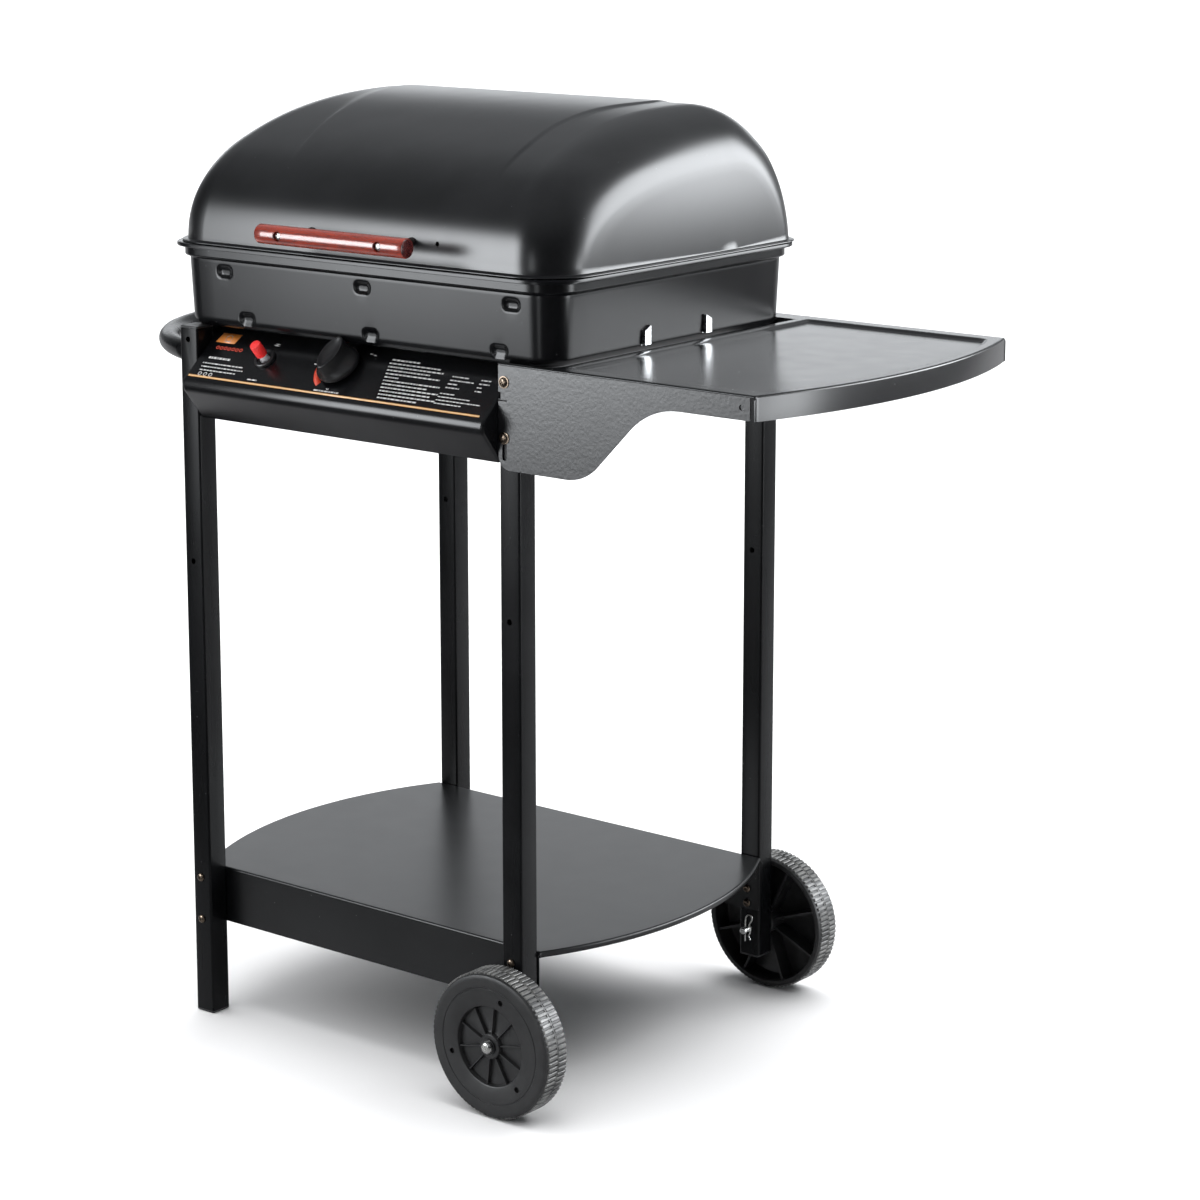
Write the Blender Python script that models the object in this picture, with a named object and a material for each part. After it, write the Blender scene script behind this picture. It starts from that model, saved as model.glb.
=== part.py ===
"""Gas barbecue grill on a two-wheeled cart.

Metres, +Z up, standing on z = 0.  Sizes are worked out in the cart's own frame, whose origin is
midway between the four legs; everything is then parented to one empty that puts the middle of the
whole object's footprint at the world origin.  The controls are on the -Y side, the push handle is
on the -X side, and the side shelf and the wheels are on the +X side.
"""
import math

import bmesh
import bpy
from mathutils import Matrix, Vector

# ---- driving dimensions -------------------------------------------------------------------------
GAP = 0.0003                # clearance left between pieces that touch
SHEET = 0.0012              # pressed steel sheet
PLATE = 0.0015              # folded steel brackets and shelf

TUBE = 0.025                # square leg tube, outside
TUBE_WALL = 0.0013
CART_X = 0.456              # over the legs, left to right
CART_Y = 0.430              # over the legs, front to back
LEG_TOP = 0.7455            # top of the tube, under its cap
CAP = 0.0020                # thickness of a leg cap
RIGHT_LEG_BOTTOM = 0.046    # the wheel side stops short of the floor
MID_HOLE_Z = 0.498          # spare hole half-way up each leg
BRACKET_Z = (0.7338, 0.6794)    # shelf bracket screws

WHEEL_R = 0.075
WHEEL_W = 0.033
WHEEL_GAP = 0.0035          # wheel's inner face to the leg
AXLE_R = 0.004

TRAY_TOP = 0.1585
TRAY_DEPTH = 0.0605         # front and rear flanges
TRAY_LIP = 0.006            # turned edge of the bowed ends
TRAY_CORNER_X = 0.2295
TRAY_BOW = 0.0495           # how far each end bows out past its corners

HANDLE_Z = 0.7195
HANDLE_R = 0.0110
HANDLE_REACH = 0.144        # from the legs' outer faces to the bar's middle line

SHELF_TOP = 0.7520
SHELF_CORNER_X = 0.5040
SHELF_BOW = 0.0385
SHELF_LIP = 0.0240
SHELF_LEFT_X = 0.2680       # edge beside the firebox

BOX_X = 0.0150              # middle of the firebox in the cart's frame
BOX_Y = -0.0120
RIM_X = 0.2640              # half size over the firebox flange
RIM_Y = 0.2100
RIM_CORNER = 0.0460
RIM_Z = 0.8350              # top of the firebox flange
BOX_BOTTOM = 0.7480
BAND = 0.0080               # flange width outside the wall
LEDGE = 0.0053              # step that carries the cooking grid
LEDGE_Z = 0.8195
TAPER = 0.0030              # how much the wall leans in below the ledge
FLOOR_RADIUS = 0.0100

LID_BASE = 0.8385
LID_HEIGHT = 0.1435
LID_X = 0.2565              # half size over the lid's wall
LID_Y = 0.2025
LID_CROWN_Y = 0.0800         # the crown line is this far behind the lid's middle
LID_ROUND = (0.0490, 0.0310, 0.0190)    # end rounding at the front, at the back, extra at the crown
LID_BULGE = 0.0040          # crown of the end walls
LID_FLANGE = 0.0060
LID_LEAN = 0.0080           # how far the end walls lean in up to the crown
LID_CURVE = (2.30, 2.11)    # exponents of the front and back of the section; 2 is an ellipse

HINGE_Y = 0.2065
HINGE_Z = 0.8385
HINGE_R = 0.0040
HINGE_X = 0.160             # hinges left and right of the lid's middle

BAR_Y = -0.2550             # lid handle's middle line
BAR_Z = 0.8590
BAR_R = 0.0098
BAR_X = 0.0265
BAR_LENGTH = 0.1940
BAR_SCREWS = 0.1320         # distance between its two screws

PANEL_TOP = (-0.1870, 0.7414)       # upper back edge of the panel's face, as (y, z)
PANEL_NOSE = (-0.2345, 0.7000)      # where the face meets the rounded nose
PANEL_FOOT = (-0.2125, 0.6535)
NOSE_R = 0.0125
PANEL_HALF = 0.2025

KNOB_X = -0.0090
KNOB_DOWN = 0.0272          # down the panel's face from its top edge
KNOB_R = 0.0235
BUTTON_X = -0.1117
BUTTON_DOWN = 0.0290

AXLE_HEAD = 0.0055          # how far an axle bolt's head stands out of its washer

FRONT_EDGE = BAR_Y - BAR_R
LEFT_EDGE = -CART_X / 2 - HANDLE_REACH - HANDLE_R
RIGHT_EDGE = SHELF_CORNER_X + SHELF_BOW
WASHER = 0.0012
BACK_EDGE = CART_Y / 2 + WHEEL_GAP + WHEEL_W + WASHER + AXLE_HEAD

LEG_X = CART_X / 2 - TUBE / 2
LEG_Y = CART_Y / 2 - TUBE / 2
SIDES = {"left": -1, "right": 1}
ENDS = {"front": -1, "back": 1}

X_AXIS, Y_AXIS, Z_AXIS = Vector((1, 0, 0)), Vector((0, 1, 0)), Vector((0, 0, 1))

for old in list(bpy.data.objects):
    bpy.data.objects.remove(old)

root = bpy.data.objects.new("grill_origin", None)
root.location = (-(LEFT_EDGE + RIGHT_EDGE) / 2, -(FRONT_EDGE + BACK_EDGE) / 2, 0)
bpy.context.collection.objects.link(root)


# ---- materials ----------------------------------------------------------------------------------
def material(name, colour, roughness, metallic=0.0):
    made = bpy.data.materials.new(name)
    made.use_nodes = True
    shader = made.node_tree.nodes["Principled BSDF"]
    shader.inputs["Base Color"].default_value = (*colour, 1)
    shader.inputs["Roughness"].default_value = roughness
    shader.inputs["Metallic"].default_value = metallic
    return made


BLACK_PAINT = material("black_paint", (0.020, 0.021, 0.023), 0.35)
ENAMEL = material("black_enamel", (0.016, 0.017, 0.019), 0.22)
BLACK_PLASTIC = material("black_plastic", (0.022, 0.022, 0.022), 0.50)
RED_PLASTIC = material("red_plastic", (0.72, 0.035, 0.030), 0.35)
RED_WOOD = material("red_wood", (0.270, 0.050, 0.028), 0.30)
ZINC = material("zinc", (0.62, 0.62, 0.60), 0.35, 1.0)
CHROME = material("chrome_wire", (0.75, 0.75, 0.74), 0.15, 1.0)
BRASS = material("brass", (0.72, 0.55, 0.25), 0.30, 1.0)
CAST_IRON = material("burner_iron", (0.10, 0.095, 0.09), 0.65, 1.0)
ROCK = material("lava_rock", (0.13, 0.085, 0.07), 0.95)
CERAMIC = material("ceramic", (0.80, 0.78, 0.72), 0.40)
DARK_SCREW = material("dark_screw", (0.16, 0.13, 0.10), 0.35, 1.0)


# ---- modelling helpers --------------------------------------------------------------------------
def finish(name, mesh, paint, pivot=(0, 0, 0), smooth=35):
    """Make the named object from a bmesh drawn in the cart's frame, with its origin at pivot."""
    pivot = Vector(pivot)
    bmesh.ops.translate(mesh, vec=-pivot, verts=mesh.verts)
    bmesh.ops.recalc_face_normals(mesh, faces=mesh.faces)
    data = bpy.data.meshes.new(name)
    mesh.to_mesh(data)
    mesh.free()
    data.materials.append(paint)
    data.shade_smooth()
    data.set_sharp_from_angle(angle=math.radians(smooth))
    made = bpy.data.objects.new(name, data)
    made.location = pivot
    made.parent = root
    bpy.context.collection.objects.link(made)
    return made


def tool(name, mesh, pivot=(0, 0, 0)):
    """A hidden helper solid for a Boolean."""
    made = finish(name, mesh, BLACK_PAINT, pivot)
    made.hide_render = True
    made.display_type = "WIRE"
    return made


def combine(target, mesh, operation, label):
    """Join or cut target with the solids in mesh."""
    helper = tool(f"tool_{target.name}_{label}", mesh)
    step = target.modifiers.new(label, "BOOLEAN")
    step.operation = operation
    step.solver = "EXACT"
    step.object = helper


def cut(target, mesh, label="cut"):
    combine(target, mesh, "DIFFERENCE", label)


def join(target, mesh, label="join"):
    combine(target, mesh, "UNION", label)


def box(mesh, low, high):
    """Add an axis-aligned block between two corners."""
    size = [high[i] - low[i] for i in range(3)]
    middle = [(high[i] + low[i]) / 2 for i in range(3)]
    place = Matrix.Translation(middle) @ Matrix.Diagonal((*size, 1))
    bmesh.ops.create_cube(mesh, size=1, matrix=place)


def block(low, high):
    mesh = bmesh.new()
    box(mesh, low, high)
    return mesh


def turn_to(axis):
    """Rotation that turns +Z to axis."""
    return Z_AXIS.rotation_difference(Vector(axis)).to_matrix().to_4x4()


def rod(mesh, start, end, radius, sides=16, end_radius=None):
    """Add a cylinder or cone between two points."""
    start, end = Vector(start), Vector(end)
    along = end - start
    place = Matrix.Translation((start + end) / 2) @ turn_to(along.normalized())
    bmesh.ops.create_cone(mesh, cap_ends=True, segments=sides, radius1=radius,
                          radius2=radius if end_radius is None else end_radius,
                          depth=along.length, matrix=place)


def loft(mesh, rings, closed=False, caps=True):
    """Skin equal rings of points; closed joins the last ring to the first."""
    made = [[mesh.verts.new(point) for point in ring] for ring in rings]
    pairs = list(zip(made, made[1:])) + ([(made[-1], made[0])] if closed else [])
    count = len(made[0])
    for low, high in pairs:
        for i in range(count):
            j = (i + 1) % count
            mesh.faces.new((low[i], low[j], high[j], high[i]))
    if caps and not closed:
        mesh.faces.new(list(reversed(made[0])))
        mesh.faces.new(made[-1])


def prism(mesh, outline, place, depth):
    """Extrude a flat outline, given as (u, v) pairs, through depth; place maps (u, v, w)."""
    loft(mesh, [[place(u, v, w) for u, v in outline] for w in (0, depth)])


def turned(mesh, profile, origin, axis, sides=24):
    """Spin a closed profile of (radius, height) points about an axis through origin."""
    spin = Matrix.Translation(origin) @ turn_to(axis)
    rings = []
    for k in range(sides):
        angle = 2 * math.pi * k / sides
        rings.append([spin @ Vector((r * math.cos(angle), r * math.sin(angle), h))
                      for r, h in profile])
    loft(mesh, rings, closed=True)


def spindle(mesh, levels, origin, axis, sides=20):
    """Solid of revolution from (radius, height) levels along an axis, flat at both ends."""
    spin = Matrix.Translation(origin) @ turn_to(axis)
    rings = []
    for r, h in levels:
        rings.append([spin @ Vector((r * math.cos(2 * math.pi * k / sides),
                                     r * math.sin(2 * math.pi * k / sides), h))
                      for k in range(sides)])
    loft(mesh, rings)


def arc(centre, radius, start, end, steps):
    """Points on an arc in a plane; angles in degrees."""
    return [(centre[0] + radius * math.cos(math.radians(start + (end - start) * k / steps)),
             centre[1] + radius * math.sin(math.radians(start + (end - start) * k / steps)))
            for k in range(steps + 1)]


def pipe(mesh, path, radius, bore=0.0, sides=12):
    """Sweep a round tube along a path of points; a bore leaves both ends open."""
    path = [Vector(p) for p in path]
    rings = {radius: [], bore: []}
    side = None
    for k, point in enumerate(path):
        along = (path[min(k + 1, len(path) - 1)] - path[max(k - 1, 0)]).normalized()
        if side is None:
            side = along.orthogonal().normalized()
        side = (side - along * side.dot(along)).normalized()
        up = along.cross(side)
        for size in rings:
            rings[size].append([point + side * size * math.cos(2 * math.pi * i / sides)
                                + up * size * math.sin(2 * math.pi * i / sides)
                                for i in range(sides)])
    if bore:
        loft(mesh, rings[radius] + list(reversed(rings[bore])), closed=True)
    else:
        loft(mesh, rings[radius])


def rounded(half_x, half_y, corner, z, steps=6):
    """Ring of points round a rectangle with round corners, about the firebox's middle."""
    ring = []
    corners = ((1, -1, -90), (1, 1, 0), (-1, 1, 90), (-1, -1, 180))
    for sx, sy, start in corners:
        centre = (BOX_X + sx * (half_x - corner), BOX_Y + sy * (half_y - corner))
        ring += [Vector((x, y, z)) for x, y in arc(centre, corner, start, start + 90, steps)]
    return ring


# ---- cart: legs, caps, rails --------------------------------------------------------------------
def leg(end, side):
    sx, sy = SIDES[side], ENDS[end]
    x, y = sx * LEG_X, sy * LEG_Y
    bottom = CAP + GAP if side == "left" else RIGHT_LEG_BOTTOM
    half, inner = TUBE / 2, TUBE / 2 - TUBE_WALL
    mesh = bmesh.new()
    rings = [[(x + a * h, y + b * h, z) for a, b in ((-1, -1), (1, -1), (1, 1), (-1, 1))]
             for h, z in ((half, bottom), (half, LEG_TOP), (inner, LEG_TOP), (inner, bottom))]
    loft(mesh, rings, closed=True)
    made = finish(f"leg_{end}_{side}", mesh, BLACK_PAINT)
    holes = bmesh.new()
    outer_y = sy * CART_Y / 2
    wall = sy * 3 * TUBE_WALL
    for z in BRACKET_Z + (MID_HOLE_Z,):
        rod(holes, (x, outer_y + wall, z), (x, outer_y - wall, z), 0.0033, 12)
    if side == "right":
        rod(holes, (x, y - TUBE, WHEEL_R), (x, y + TUBE, WHEEL_R), AXLE_R + GAP, 16)
    cut(made, holes, "holes")
    cap(end, side, "top", (x, y), LEG_TOP, 1)
    cap(end, side, "foot", (x, y), bottom, -1)


def cap(end, side, kind, centre, z, way):
    """Plastic plug that closes one end of a leg tube."""
    plug = TUBE / 2 - TUBE_WALL - GAP
    half = TUBE / 2
    mesh = bmesh.new()
    levels = ((plug, z - way * 0.0075), (plug, z + way * GAP), (half, z + way * GAP),
              (half, z + way * (CAP + GAP)))
    rings = [[(centre[0] + a * h, centre[1] + b * h, level)
              for a, b in ((-1, -1), (1, -1), (1, 1), (-1, 1))] for h, level in levels]
    loft(mesh, rings)
    finish(f"leg_{kind}_cap_{end}_{side}", mesh, BLACK_PLASTIC)


def side_rail(side):
    """Folded channel between a front and a back leg; the firebox stands on it."""
    half, inner = TUBE / 2 - GAP, TUBE / 2 - GAP - PLATE
    reach = LEG_Y - TUBE / 2 - GAP
    x = SIDES[side] * LEG_X
    top = LEG_TOP + CAP - GAP
    drop = top - 0.035
    outline = [(-half, drop), (-inner, drop), (-inner, top - PLATE), (inner, top - PLATE),
               (inner, drop), (half, drop), (half, top), (-half, top)]
    mesh = bmesh.new()
    prism(mesh, outline, lambda u, v, w: (x + u, -reach + w, v), 2 * reach)
    finish(f"side_rail_{side}", mesh, BLACK_PAINT)


# ---- bottom tray --------------------------------------------------------------------------------
def bowed(corner_x, bow, half_y, steps, inset=0.0, left=None):
    """Outline with bowed ends; left replaces the left end by a straight edge."""
    radius = (bow ** 2 + half_y ** 2) / (2 * bow)
    middle = corner_x + bow - radius
    swing = math.degrees(math.asin((half_y - inset) / (radius - inset)))
    right = arc((middle, 0), radius - inset, -swing, swing, steps)
    if left is not None:
        return right + [(left, half_y - inset), (left, -half_y + inset)]
    return right + [(-x, -y) for x, y in right]


def bottom_tray():
    half_y = LEG_Y - TUBE / 2 - GAP
    steps = 16
    mesh = bmesh.new()
    place = lambda z: (lambda u, v, w: (u, v, z + w))
    prism(mesh, bowed(TRAY_CORNER_X, TRAY_BOW, half_y, steps), place(TRAY_TOP - TRAY_LIP), TRAY_LIP)
    tray = finish("bottom_tray", mesh, BLACK_PAINT)
    hollow = bmesh.new()
    prism(hollow, bowed(TRAY_CORNER_X, TRAY_BOW, half_y, steps, PLATE),
          place(TRAY_TOP - 2 * TRAY_LIP), 2 * TRAY_LIP - PLATE)
    cut(tray, hollow, "hollow")
    for end, sy in ENDS.items():
        flange = bmesh.new()
        face = sy * (half_y - 0.00005)
        box(flange, (-TRAY_CORNER_X, min(face, face - sy * PLATE), TRAY_TOP - TRAY_DEPTH),
            (TRAY_CORNER_X, max(face, face - sy * PLATE), TRAY_TOP - 0.0004))
        join(tray, flange, f"flange_{end}")


# ---- push handle --------------------------------------------------------------------------------
def push_handle():
    """Tube bent to one arc, its ends cut flush with the left legs' outer faces."""
    chord = LEG_Y
    radius = (HANDLE_REACH ** 2 + chord ** 2) / (2 * HANDLE_REACH)
    centre_x = -CART_X / 2 - HANDLE_REACH + radius
    swing = math.degrees(math.asin(chord / radius)) + 6
    path = [(x, y, HANDLE_Z) for x, y in arc((centre_x, 0), radius, 180 - swing, 180 + swing, 22)]
    mesh = bmesh.new()
    pipe(mesh, path, HANDLE_R, HANDLE_R - 0.0012, 12)
    handle = finish("push_handle", mesh, BLACK_PAINT)
    trim = -CART_X / 2 - GAP
    cut(handle, block((trim, -0.4, 0.6), (0, 0.4, 0.8)), "trim")


# ---- side shelf ---------------------------------------------------------------------------------
def bracket_outline():
    """Front flange of the shelf, in (x, z), with its S-shaped lower edge."""
    left, low = CART_X / 2 - TUBE + 0.0005, 0.6480
    lift = SHELF_TOP - SHELF_LIP
    slope = 46.0
    small, large = 0.052, 0.079
    start = 0.286
    curve = arc((start, low + small), small, -90, -90 + slope, 6)
    turn = math.radians(slope)
    end_x, end_z = curve[-1]
    run = (lift - large * (1 - math.cos(turn)) - end_z) / math.tan(turn)
    top_x = end_x + run + large * math.sin(turn)
    curve += arc((top_x, lift - large), large, 90 + slope, 90, 6)
    foot = arc((left + 0.012, low + 0.012), 0.012, 180, 270, 4)
    right = SHELF_CORNER_X - 0.004
    return foot + curve + [(right, lift), (right, SHELF_TOP - 0.0004), (left, SHELF_TOP - 0.0004)]


def side_shelf():
    half_y = CART_Y / 2 + GAP + PLATE
    steps = 18
    place = lambda z: (lambda u, v, w: (u, v, z + w))
    mesh = bmesh.new()
    left = CART_X / 2 - TUBE + 0.0005
    prism(mesh, bowed(SHELF_CORNER_X, SHELF_BOW, half_y, steps, 0, left),
          place(SHELF_TOP - SHELF_LIP), SHELF_LIP)
    shelf = finish("side_shelf", mesh, BLACK_PAINT)
    hollow = bmesh.new()
    prism(hollow, bowed(SHELF_CORNER_X, SHELF_BOW, half_y, steps, PLATE, left - 0.01),
          place(SHELF_TOP - 2 * SHELF_LIP), 2 * SHELF_LIP - PLATE)
    cut(shelf, hollow, "hollow")
    for end, sy in ENDS.items():
        flange = bmesh.new()
        face = sy * (half_y - 0.00005)
        prism(flange, bracket_outline(), lambda u, v, w: (u, face - sy * w, v), PLATE)
        join(shelf, flange, f"bracket_{end}")
    notch_front = BOX_Y - (RIM_Y - BAND - LEDGE) - 0.003
    notch_back = BOX_Y + (RIM_Y - BAND - LEDGE) + 0.004
    cut(shelf, block((left - 0.01, notch_front, SHELF_TOP - 0.02),
                     (SHELF_LEFT_X, notch_back, SHELF_TOP + 0.01)), "firebox_notch")
    holes = bmesh.new()
    for sy in ENDS.values():
        for z in BRACKET_Z:
            rod(holes, (LEG_X, sy * (half_y + 0.004), z), (LEG_X, sy * (half_y - 0.004), z), 0.0034, 12)
    cut(shelf, holes, "screw_holes")


# ---- control panel ------------------------------------------------------------------------------
FACE_RUN = Vector((0, PANEL_NOSE[0] - PANEL_TOP[0], PANEL_NOSE[1] - PANEL_TOP[1])).normalized()
FACE_NORMAL = Vector((0, FACE_RUN.z, -FACE_RUN.y))


def on_face(x, down, out=0.0):
    """Point on the panel's sloping face: down from its top edge and out along its normal."""
    return Vector((x, *PANEL_TOP)) + FACE_RUN * down + FACE_NORMAL * out


def panel_section(inset):
    """Panel cross-section in (y, z) with its skin moved inwards by inset."""
    slope = math.degrees(math.atan2(FACE_NORMAL.z, FACE_NORMAL.y))
    nose = Vector(PANEL_NOSE) - Vector((FACE_NORMAL.y, FACE_NORMAL.z)) * NOSE_R
    foot = Vector(PANEL_FOOT)
    under = foot - nose
    lean = math.degrees(math.atan2(under.y, under.x))
    end = 360 + lean - math.degrees(math.acos(NOSE_R / under.length))
    radius = NOSE_R - inset
    points = [Vector(PANEL_TOP) - Vector((FACE_NORMAL.y, FACE_NORMAL.z)) * inset]
    points += [Vector(p) for p in arc(nose, radius, slope, end, 7)]
    tip = Vector((math.cos(math.radians(end)), math.sin(math.radians(end))))
    points.append(foot - tip * inset)
    return points


def control_panel():
    mesh = bmesh.new()
    prism(mesh, panel_section(0), lambda u, v, w: (-PANEL_HALF + w, u, v), 2 * PANEL_HALF)
    panel = finish("control_panel", mesh, BLACK_PAINT)
    hollow = bmesh.new()
    inner = panel_section(SHEET)
    back = Vector((0.03, 0.02))
    section = [inner[0] + back] + inner + [inner[-1] + back * 0.8]
    prism(hollow, section, lambda u, v, w: (-PANEL_HALF + SHEET + w, u, v), 2 * (PANEL_HALF - SHEET))
    cut(panel, hollow, "hollow")
    holes = bmesh.new()
    for x, down, radius in ((KNOB_X, KNOB_DOWN, 0.0065), (BUTTON_X, BUTTON_DOWN, 0.0085)):
        rod(holes, on_face(x, down, -0.004), on_face(x, down, 0.004), radius, 20)
    cut(panel, holes, "control_holes")


def gas_controls():
    """Valve, stem and knob on one axis, and the inlet fitting at the valve's end."""
    valve = bmesh.new()
    turned(valve, [(0.0036, -0.012), (0.0060, -0.012), (0.0060, -0.0018), (0.0095, -0.0018 - GAP),
                   (0.0095, -0.0080), (0.0125, -0.0090), (0.0125, -0.0300), (0.0036, -0.0300)],
           on_face(KNOB_X, KNOB_DOWN), FACE_NORMAL, 20)
    made = finish("gas_valve", valve, BRASS)
    low = on_face(KNOB_X, KNOB_DOWN, -0.034)
    arm = bmesh.new()
    rod(arm, low - FACE_NORMAL * 0.008, low + FACE_NORMAL * 0.0045, 0.0110, 20)
    join(made, arm, "bottom")
    spud = bmesh.new()
    rod(spud, low, low + Vector((0, 0.022, 0)), 0.0050, 14)
    join(made, spud, "orifice")
    fitting = bmesh.new()
    start = low + Vector((-0.0135, 0, 0))
    rod(fitting, low, start, 0.0040, 14)
    join(made, fitting, "inlet_boss")
    inlet = bmesh.new()
    rod(inlet, start - X_AXIS * GAP, start - X_AXIS * 0.012, 0.0080, 6)
    made = finish("gas_inlet_fitting", inlet, BRASS)
    tail = bmesh.new()
    rod(tail, start - X_AXIS * 0.011, start - X_AXIS * 0.038, 0.0050, 14, 0.0042)
    join(made, tail, "tail")

    stem = bmesh.new()
    stem_low, stem_high = -0.0240, 0.0120
    rod(stem, on_face(KNOB_X, KNOB_DOWN, stem_low), on_face(KNOB_X, KNOB_DOWN, stem_high), 0.0032, 14)
    finish("valve_stem", stem, ZINC, on_face(KNOB_X, KNOB_DOWN))

    knob = bmesh.new()
    turned(knob, [(0.0032 + GAP, 0.0042), (KNOB_R, 0.0042), (KNOB_R, 0.0070), (KNOB_R - 0.0035, 0.0150),
                  (KNOB_R - 0.0055, 0.0165), (0.0050, 0.0165), (0.0032 + GAP, 0.0150)],
           on_face(KNOB_X, KNOB_DOWN), FACE_NORMAL, 32)
    made = finish("control_knob", knob, BLACK_PLASTIC, on_face(KNOB_X, KNOB_DOWN))
    grip = bmesh.new()
    bar = [(0.0075 * math.cos(a), 0.0185 * math.sin(a))
           for a in (2 * math.pi * k / 20 for k in range(20))]
    for level in (0.0150,):
        rings = [[on_face(KNOB_X + u * s, KNOB_DOWN - v * s, level + rise) for u, v in bar]
                 for rise, s in ((-0.001, 1.0), (0.0095, 0.92), (0.0110, 0.80))]
        loft(grip, rings)
    join(made, grip, "grip")


def igniter():
    """Piezo igniter: a threaded body held by a ring nut, and the push button that fires it."""
    body = bmesh.new()
    turned(body, [(0.0068, 0.0018), (0.0078, 0.0018), (0.0078, -0.0030), (0.0110, -0.0030),
                  (0.0110, -0.0380), (0.0020, -0.0380), (0.0020, -0.0300), (0.0068, -0.0280)],
           on_face(BUTTON_X, BUTTON_DOWN), FACE_NORMAL, 20)
    finish("igniter_body", body, BLACK_PLASTIC)
    ring = bmesh.new()
    turned(ring, [(0.0078 + GAP, GAP), (0.0120, GAP), (0.0120, 0.0026), (0.0105, 0.0034),
                  (0.0078 + GAP, 0.0034)],
           on_face(BUTTON_X, BUTTON_DOWN), FACE_NORMAL, 24)
    finish("igniter_ring_nut", ring, BLACK_PLASTIC)
    button = bmesh.new()
    spindle(button, [(0.0055, -0.0180), (0.0055, 0.0020), (0.0040, 0.0072), (0.0062, 0.0074),
                     (0.0062, 0.0225), (0.0054, 0.0232)],
            on_face(BUTTON_X, BUTTON_DOWN), FACE_NORMAL, 20)
    finish("igniter_button", button, RED_PLASTIC, on_face(BUTTON_X, BUTTON_DOWN))
    electrode = bmesh.new()
    tip = Vector((BOX_X - 0.020, BOX_Y - 0.030, BOX_BOTTOM + SHEET + 0.0008))
    rod(electrode, tip - Z_AXIS * 0.022, tip + Z_AXIS * 0.012, 0.0035, 12)
    made = finish("spark_electrode", electrode, CERAMIC)
    wire = bmesh.new()
    rod(wire, tip + Z_AXIS * 0.011, tip + Z_AXIS * 0.022, 0.0010, 8)
    join(made, wire, "wire")
    return tip


# ---- firebox and what it holds ------------------------------------------------------------------
def box_ring(inset, z, steps=6):
    return rounded(RIM_X - inset, RIM_Y - inset, RIM_CORNER - inset, z, steps)


def firebox():
    wall = BAND + LEDGE
    low = wall + TAPER
    rings = []
    bend = 3
    for k in range(bend + 1):
        angle = math.radians(90 * k / bend)
        rings.append(box_ring(low + FLOOR_RADIUS * (1 - math.sin(angle)),
                              BOX_BOTTOM + FLOOR_RADIUS * (1 - math.cos(angle))))
    rings += [box_ring(wall, LEDGE_Z), box_ring(BAND, LEDGE_Z + 0.0015),
              box_ring(BAND, RIM_Z - SHEET), box_ring(SHEET, RIM_Z - SHEET),
              box_ring(SHEET, RIM_Z - 0.0040), box_ring(0, RIM_Z - 0.0040), box_ring(0, RIM_Z),
              box_ring(BAND + SHEET, RIM_Z), box_ring(BAND + SHEET, LEDGE_Z + 0.0015 + SHEET),
              box_ring(wall + SHEET, LEDGE_Z + SHEET)]
    for k in range(bend, -1, -1):
        angle = math.radians(90 * k / bend)
        rings.append(box_ring(low + SHEET + (FLOOR_RADIUS - SHEET) * (1 - math.sin(angle)),
                              BOX_BOTTOM + SHEET + (FLOOR_RADIUS - SHEET) * (1 - math.cos(angle))))
    mesh = bmesh.new()
    loft(mesh, rings)
    tub = finish("firebox", mesh, ENAMEL)
    holes = bmesh.new()
    for x, y, radius in ((BOX_X, BOX_Y, 0.0150), (BOX_X - 0.020, BOX_Y - 0.030, 0.0045),
                         (BOX_X + 0.110, BOX_Y, 0.0120)):
        rod(holes, (x, y, BOX_BOTTOM - 0.002), (x, y, BOX_BOTTOM + SHEET + 0.002), radius, 20)
    cut(tub, holes, "floor_holes")
    slots = bmesh.new()
    for side in SIDES.values():
        for y in TAB_Y:
            middle = BOX_X + side * (RIM_X - wall - TAPER / 2)
            box(slots, (middle - 0.008, y - 0.0048, TAB_Z - 0.0012),
                (middle + 0.008, y + 0.0048, TAB_Z + 0.0160))
    cut(tub, slots, "tab_slots")


TAB_Y = (BOX_Y - 0.0505, BOX_Y + 0.0505)    # support tabs through the end walls
TAB_Z = 0.7565
SUPPORT_Z = 0.7980
GRID_GAP = 0.0035           # round the cooking grid, so that it clears the lid as it is lifted
GRID_CORNER = 0.0415


def grate_support(side):
    """Folded zinc rail inside an end wall, held by two tabs through the wall's slots."""
    sx = SIDES[side]
    wall = BOX_X + sx * (RIM_X - BAND - LEDGE - TAPER - SHEET - GAP)
    near, far = wall - sx * 0.0014, wall - sx * 0.0200
    length = 0.150
    mesh = bmesh.new()
    box(mesh, (min(wall - sx * 0.0004, near), -length + BOX_Y, TAB_Z - 0.0010),
        (max(wall - sx * 0.0004, near), length + BOX_Y, SUPPORT_Z))
    made = finish(f"grate_support_{side}", mesh, ZINC)
    shelf = bmesh.new()
    box(shelf, (min(near, far), -length + BOX_Y + 0.0005, SUPPORT_Z - 0.0012),
        (max(near, far) + 0.0006 * (1 if sx > 0 else 0), length + BOX_Y - 0.0005, SUPPORT_Z - 0.0001))
    join(made, shelf, "shelf")
    tabs = bmesh.new()
    for y in TAB_Y:
        out = BOX_X + sx * (RIM_X - BAND - LEDGE + 0.0012)
        inner = wall - sx * 0.0009
        box(tabs, (min(out, inner), y - 0.0040, TAB_Z - 0.0002),
            (max(out, inner), y + 0.0040, TAB_Z + 0.0148))
    join(made, tabs, "tabs")


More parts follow.
